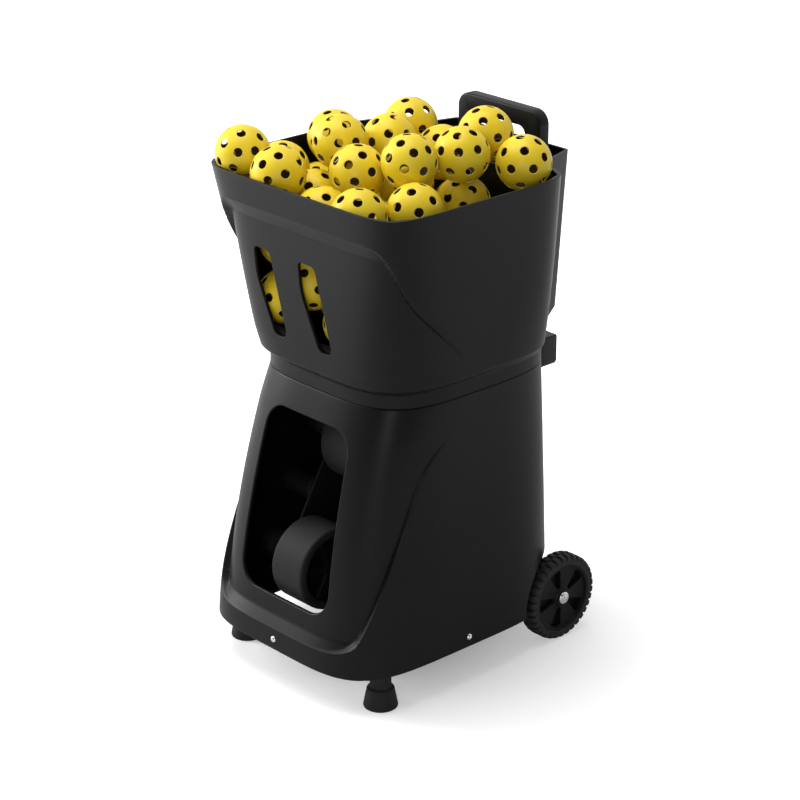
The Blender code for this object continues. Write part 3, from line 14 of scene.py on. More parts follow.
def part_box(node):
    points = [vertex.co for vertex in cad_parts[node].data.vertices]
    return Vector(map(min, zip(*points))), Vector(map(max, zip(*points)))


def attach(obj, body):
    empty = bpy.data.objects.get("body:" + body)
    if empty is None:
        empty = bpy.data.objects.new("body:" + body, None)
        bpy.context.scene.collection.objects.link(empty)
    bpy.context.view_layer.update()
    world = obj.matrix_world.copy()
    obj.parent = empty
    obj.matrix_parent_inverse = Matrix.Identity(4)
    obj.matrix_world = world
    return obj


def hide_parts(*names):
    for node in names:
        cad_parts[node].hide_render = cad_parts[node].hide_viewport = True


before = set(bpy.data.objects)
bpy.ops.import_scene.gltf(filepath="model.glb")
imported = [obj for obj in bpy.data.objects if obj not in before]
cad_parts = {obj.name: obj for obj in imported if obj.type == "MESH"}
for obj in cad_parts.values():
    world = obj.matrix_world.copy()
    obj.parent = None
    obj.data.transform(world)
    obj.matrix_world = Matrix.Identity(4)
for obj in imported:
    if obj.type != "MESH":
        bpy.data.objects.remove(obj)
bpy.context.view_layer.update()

# Base housing: one deep injection moulding in fine-textured black plastic, narrowing upwards.
# Its front is a separate-looking panel, set in behind a ledge at the bottom and a crease up each side.
SKIRT_Z = 0.054
SEAM_Z = 0.409
SKIRT_PLAN = (0.173, -0.22306, 0.17494, 4.5)
SEAM_PLAN = (0.1495, -0.14206, 0.18094, 3.7)
WALL = 0.0035
CREASE_SOFTNESS = 0.0018


def mix_plans(first, second, share):
    return tuple(a + (b - a) * share for a, b in zip(first, second))


def base_plan(z):
    share = min(max((z - SKIRT_Z) / (SEAM_Z - SKIRT_Z), 0.0), 1.0)
    curved = mix_plans(SKIRT_PLAN, SEAM_PLAN, share ** 1.58)
    return curved[:3] + (SKIRT_PLAN[3] + (SEAM_PLAN[3] - SKIRT_PLAN[3]) * share,)


def fillet(corners, steps=12):
    """An outline from (a, b, radius) corners, each corner of some radius turned into an arc."""
    points = []
    for index, (a, b, radius) in enumerate(corners):
        corner = Vector((a, b))
        if radius <= 0:
            points.append((a, b))
            continue
        before = (Vector(corners[index - 1][:2]) - corner).normalized()
        after = (Vector(corners[(index + 1) % len(corners)][:2]) - corner).normalized()
        half_angle = before.angle(after) / 2
        centre = corner + (before + after).normalized() * (radius / math.sin(half_angle))
        start = corner + before * (radius / math.tan(half_angle)) - centre
        sweep = math.pi - 2 * half_angle
        if before.x * after.y - before.y * after.x > 0:
            sweep = -sweep
        for step in range(steps + 1):
            turn = sweep * step / steps
            points.append((centre.x + start.x * math.cos(turn) - start.y * math.sin(turn),
                           centre.y + start.x * math.sin(turn) + start.y * math.cos(turn)))
    return points


def inside_distance(y, z, line, side):
    """How far points in side view lie inside a crease line: negative on its other side."""
    best = np.full(np.shape(y), 1e9)
    signed = np.zeros(np.shape(y))
    for (y0, z0), (y1, z1) in zip(line, line[1:]):
        dy, dz = y1 - y0, z1 - z0
        along = np.clip(((y - y0) * dy + (z - z0) * dz) / (dy * dy + dz * dz), 0, 1)
        off_y = y - y0 - along * dy
        off_z = z - z0 - along * dz
        distance = np.hypot(off_y, off_z)
        cross = (dy * off_z - dz * off_y) * side
        nearer = distance < best - 1e-9
        signed = np.where(nearer, np.where(cross >= 0, distance, -distance), signed)
        best = np.minimum(best, distance)
    return signed


def unit_plan(power, count=700):
    """Right half of a rounded plan of size 1, front centre to back centre, evenly stepped."""
    turn = 2 ** (-1 / power)
    flat = np.linspace(0, turn, count)
    x = np.concatenate([flat, (1 - np.linspace(turn, 0, count)[1:] ** power) ** (1 / power)])
    y = np.concatenate([(1 - flat ** power) ** (1 / power), np.linspace(turn, 0, count)[1:]])
    return np.concatenate([x, x[::-1][1:]]), np.concatenate([-y, y[::-1][1:]])


def soft_profile(knots, softness):
    """A height profile from (z, inset) knots with its corners rounded off, never below 0."""
    heights, insets = zip(*knots)
    offsets = np.linspace(-1, 1, 9)
    weights = 1 - np.abs(offsets) * 0.9

    def inset(z):
        samples = np.maximum(np.interp(z + offsets * softness, heights, insets), 0)
        return float((samples * weights).sum() / weights.sum())
    return inset


def edge_round(z, low, high, radius):
    """Inset that rounds a moulding's bottom and top edges."""
    near = min(z - low, high - z)
    if near >= radius:
        return 0.0
    return radius - math.sqrt(max(radius ** 2 - (radius - max(near, 0.0)) ** 2, 0.0))


def ring_faces(rings, count):
    """Corner numbers of the faces between rings of count points, each ring above the one before."""
    return [(low + i, low + (i + 1) % count, low + count + (i + 1) % count, low + count + i)
            for low in range(0, (rings - 1) * count, count) for i in range(count)]


def placed(name, data):
    """An object with the mesh, lamp or camera given, put in the scene."""
    made = bpy.data.objects.new(name, data)
    bpy.context.scene.collection.objects.link(made)
    return made


def from_points(name, points, faces=()):
    mesh = bpy.data.meshes.new(name)
    mesh.from_pydata(points, [], faces)
    mesh.update()
    return placed(name, mesh)


def from_bmesh(name, work):
    mesh = bpy.data.meshes.new(name)
    work.to_mesh(mesh)
    work.free()
    return placed(name, mesh)


def moulding(name, heights, plan_at, panel_inset, crease, side, inset=0.0, shift=0.0, edges=None,
             columns=(62, 44), least=0.02):
    """A closed moulded body: rows of points at each height, with extra columns along the crease.

    The crease's columns start no nearer than `least` to the front's middle, measured round the plan.
    """
    rows = []
    ahead, behind = columns
    back_margin, least_step = 0.02, 0.0002
    levels = np.array([1, 0.7, 0.4, 0.15, -0.15, -0.4, -0.7, -1]) * CREASE_SOFTNESS - shift
    for z in heights:
        half_width, front, back, power = plan_at(z)
        unit_x, unit_y = unit_plan(power)
        half_depth = (back - front) / 2
        middle = (back + front) / 2
        x = unit_x * half_width
        y = unit_y * half_depth + middle
        arc = np.concatenate([[0], np.cumsum(np.hypot(np.diff(x), np.diff(y)))])
        inside = inside_distance(y, np.full_like(y, z), crease, side)
        zone = np.interp(-levels, -np.minimum.accumulate(inside), arc)
        zone = np.clip(zone, least, arc[-1] - back_margin)
        for index in range(1, len(zone)):
            zone[index] = max(zone[index], zone[index - 1] + least_step)
        places = np.concatenate([np.linspace(0, zone[0], ahead)[:-1], zone,
                                 np.linspace(zone[-1], arc[-1], behind)[1:]])
        past = np.interp(places, arc, inside) + shift + CREASE_SOFTNESS
        share = np.clip(past / (2 * CREASE_SOFTNESS), 0, 1)
        depth = inset + panel_inset(z) * share * share * (3 - 2 * share)
        if edges:
            depth = depth + edge_round(z, *edges)
        px = np.interp(places, arc, unit_x) * (half_width - depth)
        py = np.interp(places, arc, unit_y) * (half_depth - depth) + middle
        px[0] = px[-1] = 0.0
        right = np.stack([px, py, np.full_like(px, z)], axis=1)
        left = right[::-1][1:-1] * (-1, 1, 1)
        rows.append(np.concatenate([right, left]))
    count = len(rows[0])
    faces = [tuple(range(count))[::-1], *ring_faces(len(rows), count),
             tuple(range((len(rows) - 1) * count, len(rows) * count))]
    return from_points(name, np.concatenate(rows).tolist(), faces)


def through(name, bodies):
    """Closed bodies in one mesh, each through rings of equal point counts from one end to the other."""
    work = bmesh.new()
    for body in bodies:
        rings = [[work.verts.new(point) for point in ring] for ring in body]
        count = len(rings[0])
        work.faces.new(rings[0])
        work.faces.new(rings[-1])
        for low, high in zip(rings, rings[1:]):
            for i in range(count):
                work.faces.new((low[i], low[(i + 1) % count], high[(i + 1) % count], high[i]))
    bmesh.ops.recalc_face_normals(work, faces=work.faces)
    return from_bmesh(name, work)


def slab(name, outlines, low, high, axis="Y"):
    """Flat outlines given thickness: (x, z) outlines along Y, (y, z) along X, (x, y) along Z."""
    point = {"X": lambda a, b, level: (level, a, b), "Y": lambda a, b, level: (a, level, b),
             "Z": lambda a, b, level: (a, b, level)}[axis]
    return through(name, [[[point(a, b, level) for a, b in outline] for level in (low, high)]
                          for outline in outlines])


def turned(name, profile, centre, axis="X", steps=72, closed=True):
    """A turned piece from (radius, height) points, its height along the axis from the centre."""
    work = bmesh.new()
    turn = {"X": Matrix.Rotation(math.pi / 2, 4, "Y"), "Y": Matrix.Rotation(-math.pi / 2, 4, "X"),
            "Z": Matrix()}[axis]
    place = Matrix.Translation(centre) @ turn
    rings = []
    for radius, height in profile:
        angles = [2 * math.pi * i / steps for i in range(steps)] if radius > 0 else [0.0]
        ring = [Vector((radius * math.cos(angle), radius * math.sin(angle), height)) for angle in angles]
        rings.append([work.verts.new(place @ point) for point in ring])
    pairs = list(zip(rings, rings[1:])) + ([(rings[-1], rings[0])] if closed and len(rings[0]) > 1 else [])
    for first, second in pairs:
        for i in range(steps):
            j = (i + 1) % steps
            corners = [first[i % len(first)], first[j % len(first)], second[j % len(second)],
                       second[i % len(second)]]
            corners = list(dict.fromkeys(corners))
            if len(corners) > 2:
                work.faces.new(corners)
    bmesh.ops.recalc_face_normals(work, faces=work.faces)
    return from_bmesh(name, work)


def mirrored(half):
    """A turned profile from its half on one side of the middle."""
    return half + [(radius, -height) for radius, height in reversed(half)]


def rod(name, radius, ends, centre, axis="X", steps=72):
    """A plain solid cylinder between two heights along the axis, given in either order."""
    low, high = sorted(ends)
    side = [(0, low), (radius, low), (radius, high), (0, high)]
    return turned(name, side, centre, axis, steps, closed=False)


def cut(target, others, operation="DIFFERENCE"):
    """Cuts others out of the target, or joins them to it, and leaves a plain mesh."""
    for other in others:
        modifier = target.modifiers.new(other.name, "BOOLEAN")
        modifier.operation = operation
        modifier.solver = "EXACT"
        modifier.object = other
    apply_modifiers(target)
    for other in others:
        bpy.data.objects.remove(other)
    return target


def apply_modifiers(target):
    bpy.context.view_layer.update()
    graph = bpy.context.evaluated_depsgraph_get()
    mesh = bpy.data.meshes.new_from_object(target.evaluated_get(graph))
    target.modifiers.clear()
    target.data = mesh
    return target


def rounded(target, width, segments=3, angle=40):
    """Rounds the edges of a piece that are sharper than the angle."""
    bevel = target.modifiers.new("Rounded", "BEVEL")
    bevel.width = width
    bevel.segments = segments
    bevel.limit_method = "ANGLE"
    bevel.angle_limit = math.radians(angle)
    return apply_modifiers(target)


def joined(name, pieces):
    """Puts several plain meshes into one object."""
    work = bmesh.new()
    for piece in pieces:
        work.from_mesh(piece.data)
        bpy.data.objects.remove(piece)
    return from_bmesh(name, work)


def finish(target, material, body, nodes=(), angle=35):
    """Gives a piece its material and smooth shading, and says what it rides on and stands for."""
    target.data.materials.clear()
    target.data.materials.append(material)
    target.data.shade_smooth()
    target.data.set_sharp_from_angle(angle=math.radians(angle))
    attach(target, body)
    if nodes:
        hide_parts(*nodes)
    return target


def lip(name, outline, surface, radius, depth, steps=6):
    """The rounded edge of an opening in a front wall: rolls in from the wall's face to the cut side."""
    lap, buried, proud, spread = 0.0006, 0.00012, 0.00002, 0.001
    count = len(outline)
    centre = Vector((sum(a for a, _ in outline) / count, sum(b for _, b in outline) / count))
    points = []
    for step in range(-1, steps + 3):
        turn = min(max(step, 0), steps) / steps * math.pi / 2
        for i, (a, b) in enumerate(outline):
            along = Vector(outline[(i + 1) % count]) - Vector(outline[i - 1])
            normal = Vector((along.y, -along.x)).normalized()
            if normal.dot(Vector((a, b)) - centre) < 0:
                normal = -normal
            out = radius * (1 - math.sin(turn)) + (lap if step < 0 else 0.0)
            if step == steps + 2:
                out = radius + spread
            x = a + normal.x * out
            z = b + normal.y * out
            y = surface(x, z) + radius * (1 - math.cos(turn)) + (buried if step < 0 else -proud)
            if step > steps:
                y = surface(x, z) + depth
            points.append((x, y, z))
    work = bmesh.new()
    corners = [work.verts.new(point) for point in points]
    for face in ring_faces(steps + 4, count):
        work.faces.new([corners[i] for i in face])
    bmesh.ops.recalc_face_normals(work, faces=work.faces)
    facing = [face for face in work.faces if abs(face.normal.y) > 0.5][:1]
    if facing and facing[0].normal.y > 0:
        bmesh.ops.reverse_faces(work, faces=work.faces)
    return from_bmesh(name, work)


def face_of(target):
    """A function giving how far forward a body's face lies at a sideways place and height."""
    tree = BVHTree.FromObject(target, bpy.context.evaluated_depsgraph_get())

    def surface(x, z):
        return tree.ray_cast(Vector((x, -0.5, z)), Vector((0, 1, 0)))[0].y
    return surface


def set_inputs(node, values):
    for name, value in values.items():
        node.inputs[name].default_value = value
    return node


def add_node(tree, kind, inputs=None, **settings):
    """A new node in a tree, with its own settings and then the values of its inputs."""
    node = tree.nodes.new(kind)
    for name, value in settings.items():
        setattr(node, name, value)
    return set_inputs(node, inputs or {})


def wire(tree, *joins):
    """Joins nodes of a tree: each join is a node, its output, the next node and its input."""
    for source, output, target, entry in joins:
        tree.links.new(source.outputs[output], target.inputs[entry])


def new_group(name, kind, inputs, outputs):
    """A node group with named sockets, and the two nodes that stand for them inside it."""
    tree = bpy.data.node_groups.new(name, kind)
    for way, sockets in (("INPUT", inputs), ("OUTPUT", outputs)):
        for label, socket in sockets.items():
            tree.interface.new_socket(label, in_out=way, socket_type="NodeSocket" + socket)
    return tree, tree.nodes.new("NodeGroupInput"), tree.nodes.new("NodeGroupOutput")


def grain_group():
    """Fine moulded texture: a height for Bump and a slow drift that lifts colour and roughness."""
    tree, given, put = new_group("Moulded grain", "ShaderNodeTree", {
        "Grain size": "Float", "Drift size": "Float"}, {"Height": "Float", "Drift": "Float"})
    place = add_node(tree, "ShaderNodeTexCoord")
    grain = add_node(tree, "ShaderNodeTexNoise", {"Detail": 1.5})
    drift = add_node(tree, "ShaderNodeTexNoise", {"Detail": 3.0})
    wire(tree, (place, "Object", grain, "Vector"), (place, "Object", drift, "Vector"),
         (given, "Grain size", grain, "Scale"), (given, "Drift size", drift, "Scale"),
         (grain, "Fac", put, "Height"), (drift, "Fac", put, "Drift"))
    return tree


GRAIN = grain_group()


def plain_finish(name, dark, light, rough_low, rough_high, grain=1400.0, bump=0.06, drift=7.0, metallic=0.0,
                 specular=0.35):
    """A moulded, rubber or painted finish: two near colours and roughnesses that drift, under fine grain."""
    material = bpy.data.materials.new(name)
    material.use_nodes = True
    tree = material.node_tree
    shader = set_inputs(tree.nodes["Principled BSDF"], {"Metallic": metallic, "Specular IOR Level": specular})
    effect = add_node(tree, "ShaderNodeGroup", {"Grain size": grain, "Drift size": drift}, node_tree=GRAIN)
    usual = {"From Min": 0.3, "From Max": 0.7}
    colours = add_node(tree, "ShaderNodeMix", {"A": (*dark, 1), "B": (*light, 1)}, data_type="RGBA")
    spread = add_node(tree, "ShaderNodeMapRange", usual)
    rough = add_node(tree, "ShaderNodeMapRange", {**usual, "To Min": rough_low, "To Max": rough_high})
    bumps = add_node(tree, "ShaderNodeBump", {"Strength": bump, "Distance": 0.0002})
    wire(tree, (effect, "Drift", spread, "Value"), (spread, "Result", colours, "Factor"),
         (colours, "Result", shader, "Base Color"), (effect, "Drift", rough, "Value"),
         (rough, "Result", shader, "Roughness"), (effect, "Height", bumps, "Height"),
         (bumps, "Normal", shader, "Normal"))
    return material


MOULDED_BLACK = plain_finish("moulded black", (0.0046, 0.0046, 0.0047), (0.0062, 0.0062, 0.0063), 0.34, 0.42,
                             bump=0.05, specular=0.15)

base_crease = fillet([(-0.30, 0.079, 0), (-0.21006, 0.079, 0.05), (-0.09606, 0.325, 0.14),
                      (0.03594, 0.421, 0)])
base_ledge = [(0.064, -0.0045), (0.0810, -0.0010), (0.1000, 0.0100), (0.392, -0.0010), (0.429, -0.0060)]
base_rows = [0.054, 0.0542, 0.0545, 0.0549, 0.0556, 0.059, 0.063, 0.067, 0.071, 0.0745]
base_rows += list(np.linspace(0.077, 0.112, 36)) + list(np.linspace(0.114, 0.402, 112))
base_rows += [0.405, 0.4072, 0.4081, 0.4086, 0.4088, 0.409]
base_inset = soft_profile(base_ledge, 0.004)
base = moulding("base_shell", base_rows, base_plan, base_inset, base_crease, 1, edges=(SKIRT_Z, SEAM_Z, 0.0012),
                least=0.148)
base_face = face_of(base)
hollow_rows = [0.03, 0.060, 0.075, 0.09, 0.105] + list(np.linspace(0.12, 0.39, 16)) + [SEAM_Z - 0.0045]
base_hollow = moulding("base_hollow", hollow_rows, base_plan, base_inset, base_crease, 1, WALL, WALL * 1.4,
                       columns=(30, 20))
WHEEL_Y = 0.16294
WHEEL_RADIUS = 0.062
AXLE = (0, WHEEL_Y, WHEEL_RADIUS)
ARCH_RADIUS = WHEEL_RADIUS + 0.0125
ARCH_INNER_X = 0.128
ARCH_OUTER_X = 0.24
cut(base_hollow, [rod(f"arch_wall_{side}", ARCH_RADIUS + WALL,
                      (side * (ARCH_INNER_X - WALL), side * ARCH_OUTER_X), AXLE, "X", 96) for side in (-1, 1)])
neck = moulding("base_neck", [0.39, 0.42], base_plan, lambda z: 0.0, base_crease, 1, WALL + 0.0125,
                columns=(30, 20))
base_cuts = [base_hollow, neck]
base_cuts += [rod(f"arch_{side}", ARCH_RADIUS, (side * ARCH_INNER_X, side * ARCH_OUTER_X), AXLE, "X", 96)
              for side in (-1, 1)]

WINDOW_LOW = (0.088, 0.124)
WINDOW_HIGH = (0.080, 0.372)
WINDOW_CORNER = 0.032
WINDOW_ROUND = 0.0022
SCREW_Z = 0.069
SIDE_SCREW_Y = -0.02406


def window_outline(grow=0.0):
    """The outlet window's edge, from half width and height at its foot and head."""
    (low_half, bottom), (high_half, top) = WINDOW_LOW, WINDOW_HIGH
    corner = WINDOW_CORNER + grow
    return fillet([(-low_half - grow, bottom - grow, corner), (low_half + grow, bottom - grow, corner),
                   (high_half + grow, top + grow, corner), (-high_half - grow, top + grow, corner)], 14)


def dense(outline, gap=0.004):
    """The same outline with extra points on its long straight runs."""
    points = []
    for (a0, b0), (a1, b1) in zip(outline, outline[1:] + outline[:1]):
        parts = max(1, int(math.hypot(a1 - a0, b1 - b0) / gap))
        points += [(a0 + (a1 - a0) * i / parts, b0 + (b1 - b0) * i / parts) for i in range(parts)]
    return points


base_cuts.append(slab("window_cut", [window_outline(WINDOW_ROUND)], -0.29, -0.07))
panel_hole = fillet([(-0.0423, 0.2067, 0.006), (0.0423, 0.2067, 0.006), (0.0423, 0.2833, 0.006),
                     (-0.0423, 0.2833, 0.006)], 6)
base_cuts.append(slab("panel_cut", [panel_hole], 0.14, 0.21))
for place, axis in (((0, -0.22, SCREW_Z), "Y"), ((-0.17, SIDE_SCREW_Y, SCREW_Z), "X"),
                    ((0.17, SIDE_SCREW_Y, SCREW_Z), "X")):
    base_cuts.append(rod("skirt_hole", 0.0023, (-0.02, 0.02), place, axis, 20))
cut(base, base_cuts)
axle_tube = turned("axle_tube", mirrored([(0.0063, -0.1285), (0.0098, -0.1285)]), AXLE, "X", 32)
window_lip = lip("window_lip", dense(window_outline()), base_face, WINDOW_ROUND, 0.0048)
base = joined("base_moulding", [base, axle_tube, window_lip])
finish(base, MOULDED_BLACK, "base", ["base_housing"], 30)

# Hopper: a second moulding of the same plastic that stands on the base and widens to a straight-sided rim.
# The seam between the two is a fine groove; two leaning slots in the front show how many balls are left.
RIM_Z = 0.686
HOPPER_FOOT_Z = 0.4093
COLLAR_TOP_Z = 0.427
WAIST_Z = 0.439
WAIST_PLAN = (0.1560, -0.15006, 0.17594, 4.2)
RIM_PLAN = (0.190, -0.18106, 0.14394, 8.0)
BOX_LOW_Z = 0.440
BOX_START_Y = 0.13194


def hopper_plan(z):
    if z <= WAIST_Z:
        share = min(max((z - COLLAR_TOP_Z) / (WAIST_Z - COLLAR_TOP_Z), 0.0), 1.0)
        return mix_plans(SEAM_PLAN, WAIST_PLAN, share * share * (3 - 2 * share))
    return mix_plans(WAIST_PLAN, RIM_PLAN, min((z - WAIST_Z) / (RIM_Z - WAIST_Z), 1.0))


hopper_crease = fillet([(-0.30, 0.651, 0), (-0.17606, 0.651, 0.018), (-0.12906, 0.562, 0.16),
                        (0.02594, 0.420, 0)])
hopper_ledge = [(0.389, -0.006), (0.448, -0.0010), (0.626, 0.0095), (0.650, -0.0010), (0.660, -0.0045)]
hopper_rows = [HOPPER_FOOT_Z, 0.4095, 0.4098, 0.4102, 0.4108, 0.415, 0.420, 0.424]
hopper_rows += list(np.linspace(0.426, 0.442, 12)) + list(np.linspace(0.446, 0.620, 66))
hopper_rows += list(np.linspace(0.622, 0.656, 30))
hopper_rows += [0.661, 0.667, 0.674, 0.680, 0.6845, 0.6850, 0.6854, 0.6857, 0.6859, 0.686]
hopper_inset = soft_profile(hopper_ledge, 0.0035)
hopper = moulding("hopper_body", hopper_rows, hopper_plan, hopper_inset, hopper_crease, -1,
                  edges=(HOPPER_FOOT_Z, RIM_Z, 0.0011), least=0.172)
hopper_face = face_of(hopper)


def box_plan(z, back, inset=0.0):
    """Plan of the box behind the hopper that the handle tubes stand in."""
    taper = 0.015 * (RIM_Z - z) / (RIM_Z - BOX_LOW_Z)
    wide = 0.124 - taper - inset
    narrow = 0.107 - taper - inset
    bend = BOX_START_Y + 0.022
    return fillet([(-narrow, back - inset, 0.008), (-wide, bend, 0.012), (-wide, BOX_START_Y, 0),
                   (wide, BOX_START_Y, 0), (wide, bend, 0.012), (narrow, back - inset, 0.008)], 8)


def stack(name, levels):
    """A closed body through (height, outline) levels, from the lowest up."""
    return through(name, [[[(x, y, z) for x, y in outline] for z, outline in levels]])


LOW_BACK = 0.21244
TOP_BACK = 0.21594
BOX_WALL = 0.003
rear_box = stack("rear_box", [(BOX_LOW_Z, box_plan(BOX_LOW_Z, LOW_BACK - 0.023)),
                              (0.463, box_plan(0.463, LOW_BACK)), (RIM_Z, box_plan(RIM_Z, TOP_BACK))])
cut(hopper, [rear_box], "UNION")
inner_rows = [0.40, 0.4105, 0.4265, 0.430, 0.436, 0.440, 0.446] + list(np.linspace(0.46, 0.62, 12))
inner_rows += [0.626, 0.632, 0.638, 0.644, 0.650, 0.656, RIM_Z, 0.70]
hopper_hollow = moulding("hopper_hollow", inner_rows, hopper_plan, hopper_inset, hopper_crease, -1, WALL,
                         WALL * 1.4, columns=(34, 22))
box_hollow = stack("box_hollow", [(0.467, box_plan(0.467, LOW_BACK, BOX_WALL)),
                                  (RIM_Z + 0.01, box_plan(RIM_Z, TOP_BACK, BOX_WALL))])
divider = moulding("divider", [0.41, 0.426, 0.432, WAIST_Z, 0.56, RIM_Z, 0.71], hopper_plan, lambda z: 0.0,
                   hopper_crease, -1, columns=(34, 22))
cut(box_hollow, [divider])
drop = slab("divider_drop", [[(-0.098, 0.6660), (0.098, 0.6660), (0.098, 0.71), (-0.098, 0.71)]],
            0.124, 0.18944)


def slot_outline(centre, grow=0.0):
    half = 0.0155 + grow
    top = centre - 0.0105
    bottom = centre + 0.0105
    low, high = 0.470 - grow, 0.587 + grow
    return fillet([(bottom - 0.0054 - grow, low, 0.012 + grow), (bottom + 0.0045 + half, low, 0.009 + grow),
                   (top + half, high, 0.010 + grow), (top - half, high, 0.006 + grow),
                   (top - half + 0.0008, 0.546, 0.08)], 8)


SLOT_CENTRES = (-0.072, 0.017)
SLOT_ROUND = 0.0011
TUBE_X = 0.0665
TUBE_Y = 0.19744
slots = slab("slots_cut", [slot_outline(centre, SLOT_ROUND) for centre in SLOT_CENTRES], -0.28, -0.09)
tube_ways = [rod(f"tube_way_{side}", 0.0113, (0.42, 0.49), (side * TUBE_X, TUBE_Y, 0), "Z", 48)
             for side in (-1, 1)]
cut(hopper, [hopper_hollow, box_hollow, drop, slots, *tube_ways])
lips = [lip(f"slot_lip_{i}", dense(slot_outline(centre)), hopper_face, SLOT_ROUND, 0.0042, 4)
        for i, centre in enumerate(SLOT_CENTRES)]
hopper = joined("hopper_moulding", [hopper, *lips])
finish(hopper, MOULDED_BLACK, "base", ["hopper_shell"], 30)

# Chassis tray: folded steel in black powder coat that closes the housing's underside. A ball that misses the
# wheels drops clear through the mouth at its front. Three button-head screws hold it to the skirt.
def copy_of(node, material, body, edge=0.0, holes=()):
    """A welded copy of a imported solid, smooth where it is round, that takes its place."""
    work = bmesh.new()
    work.from_mesh(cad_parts[node].data)
    bmesh.ops.remove_doubles(work, verts=work.verts, dist=0.00002)
    bmesh.ops.dissolve_limit(work, angle_limit=math.radians(1.5), verts=work.verts, edges=work.edges)
    made = from_bmesh(node + "_piece", work)
    if edge:
        rounded(made, edge, 2)
    if holes:
        cut(made, holes)
    return finish(made, material, body, [node], 32)


TRAY_PAINT = plain_finish("tray powder coat", (0.0060, 0.0060, 0.0065), (0.0090, 0.0090, 0.0095), 0.50, 0.60,
                          grain=900, bump=0.10, specular=0.15)
mouth = slab("mouth", [fillet([(-0.100, -0.192, 0.02), (0.100, -0.192, 0.02), (0.100, -0.104, 0.02),
                               (-0.100, -0.104, 0.02)], 8)], 0.050, 0.0785, "Z")
copy_of("chassis_tray", TRAY_PAINT, "base", holes=[mouth])

BRIGHT_STEEL = plain_finish("bright steel", (0.74, 0.74, 0.75), (0.82, 0.82, 0.82), 0.14, 0.24, grain=2600,
                            bump=0.02, drift=60, metallic=1.0, specular=0.5)


def button_screw(name, place, axis, outward):
    """A button-head screw: domed head with a hexagon socket, and its plain shank."""
    dome = [(0, 0.0026), (0.0016, 0.00255), (0.0028, 0.0021), (0.0038, 0.0013), (0.0044, 0.0005),
            (0.0045, 0.0), (0.0020, 0.0), (0.0020, -0.010), (0, -0.010)]
    screw = turned(name, [(r, outward * h) for r, h in dome], place, axis, 40, closed=False)
    (a, b), face = (place[1:], place[0]) if axis == "X" else ((place[0], place[2]), place[1])
    socket_radius = 0.00145
    hexagon = [(a + socket_radius * math.cos(k * math.pi / 3), b + socket_radius * math.sin(k * math.pi / 3))
               for k in range(6)]
    low, high = sorted((face + outward * 0.0012, face + outward * 0.004))
    return cut(screw, [slab("socket_cut", [hexagon], low, high, axis)])


for label, place, axis, outward in (("front", (0, -0.22234, SCREW_Z), "Y", -1),
                                    ("left", (-0.173, SIDE_SCREW_Y, SCREW_Z), "X", -1),
                                    ("right", (0.173, SIDE_SCREW_Y, SCREW_Z), "X", 1)):
    finish(button_screw(f"skirt_screw_{label}", place, axis, outward), BRIGHT_STEEL, "base",
           [f"housing_screw_{label}"])

# Front feet: two moulded rubber cones on short necks, bolted up into the tray under the front corners.
# They hold the machine level against the recoil, so the soles are flat and the sides flare out.
SOFT_RUBBER = plain_finish("foot rubber", (0.0075, 0.0075, 0.0078), (0.011, 0.011, 0.011), 0.55, 0.68,
                           grain=700, bump=0.12, specular=0.3)
for side, label in ((-1, "left"), (1, "right")):
    foot = turned(f"foot_{label}", [
        (0, 0.0717), (0.0137, 0.0717), (0.0145, 0.0709), (0.0145, 0.0312), (0.0149, 0.0298),
        (0.0172, 0.0283), (0.0182, 0.0276), (0.0188, 0.0262), (0.0210, 0.0150), (0.0232, 0.0036),
        (0.0234, 0.0020), (0.0229, 0.0006), (0.0220, 0), (0, 0)],
        (side * 0.1385, -0.15406, 0), "Z", 64, closed=False)
    finish(foot, SOFT_RUBBER, "base", [f"front_foot_{label}"], 28)

# Transport wheels: a glass-filled plastic rim with five broad flush spokes and deep pockets between them.
# A solid rubber tyre is pressed on, with two staggered rows of lugs that wrap over its shoulders.
def ring_tree():
    """Geometry Nodes: repeats what it is given round an axle that runs along X."""
    tree, given, put = new_group("Round the axle", "GeometryNodeTree", {
        "Piece": "Geometry", "Count": "Int", "Start turn": "Float", "Axle place": "Vector",
        "Finish": "Material"}, {"Ring": "Geometry"})
    line = add_node(tree, "GeometryNodeMeshLine", {"Offset": (0, 0, 0)})
    index = add_node(tree, "GeometryNodeInputIndex")
    share = add_node(tree, "ShaderNodeMath", operation="DIVIDE")
    turns = add_node(tree, "ShaderNodeMath", {1: 2 * math.pi}, operation="MULTIPLY_ADD")
    angle = add_node(tree, "ShaderNodeCombineXYZ")
    copies = add_node(tree, "GeometryNodeInstanceOnPoints")
    place = add_node(tree, "GeometryNodeTransform")
    real = add_node(tree, "GeometryNodeRealizeInstances")
    coat = add_node(tree, "GeometryNodeSetMaterial")
    wire(tree, (given, "Count", line, "Count"), (index, "Index", share, 0), (given, "Count", share, 1),
         (share, "Value", turns, 0), (given, "Start turn", turns, 2), (turns, "Value", angle, "X"),
         (line, "Mesh", copies, "Points"), (given, "Piece", copies, "Instance"),
         (angle, "Vector", copies, "Rotation"), (copies, "Instances", place, "Geometry"),
         (given, "Axle place", place, "Translation"), (place, "Geometry", real, "Geometry"),
         (real, "Geometry", coat, "Geometry"), (given, "Finish", coat, "Material"),
         (coat, "Geometry", put, "Ring"))
    return tree


def run_tree(piece, tree, **values):
    """Runs a Geometry Nodes tree on a piece and keeps the result as its plain mesh."""
    modifier = piece.modifiers.new(tree.name, "NODES")
    modifier.node_group = tree
    for item in tree.interface.items_tree:
        name = item.name.replace(" ", "_").lower()
        if item.in_out == "INPUT" and name in values:
            modifier[item.identifier] = values[name]
    return apply_modifiers(piece)


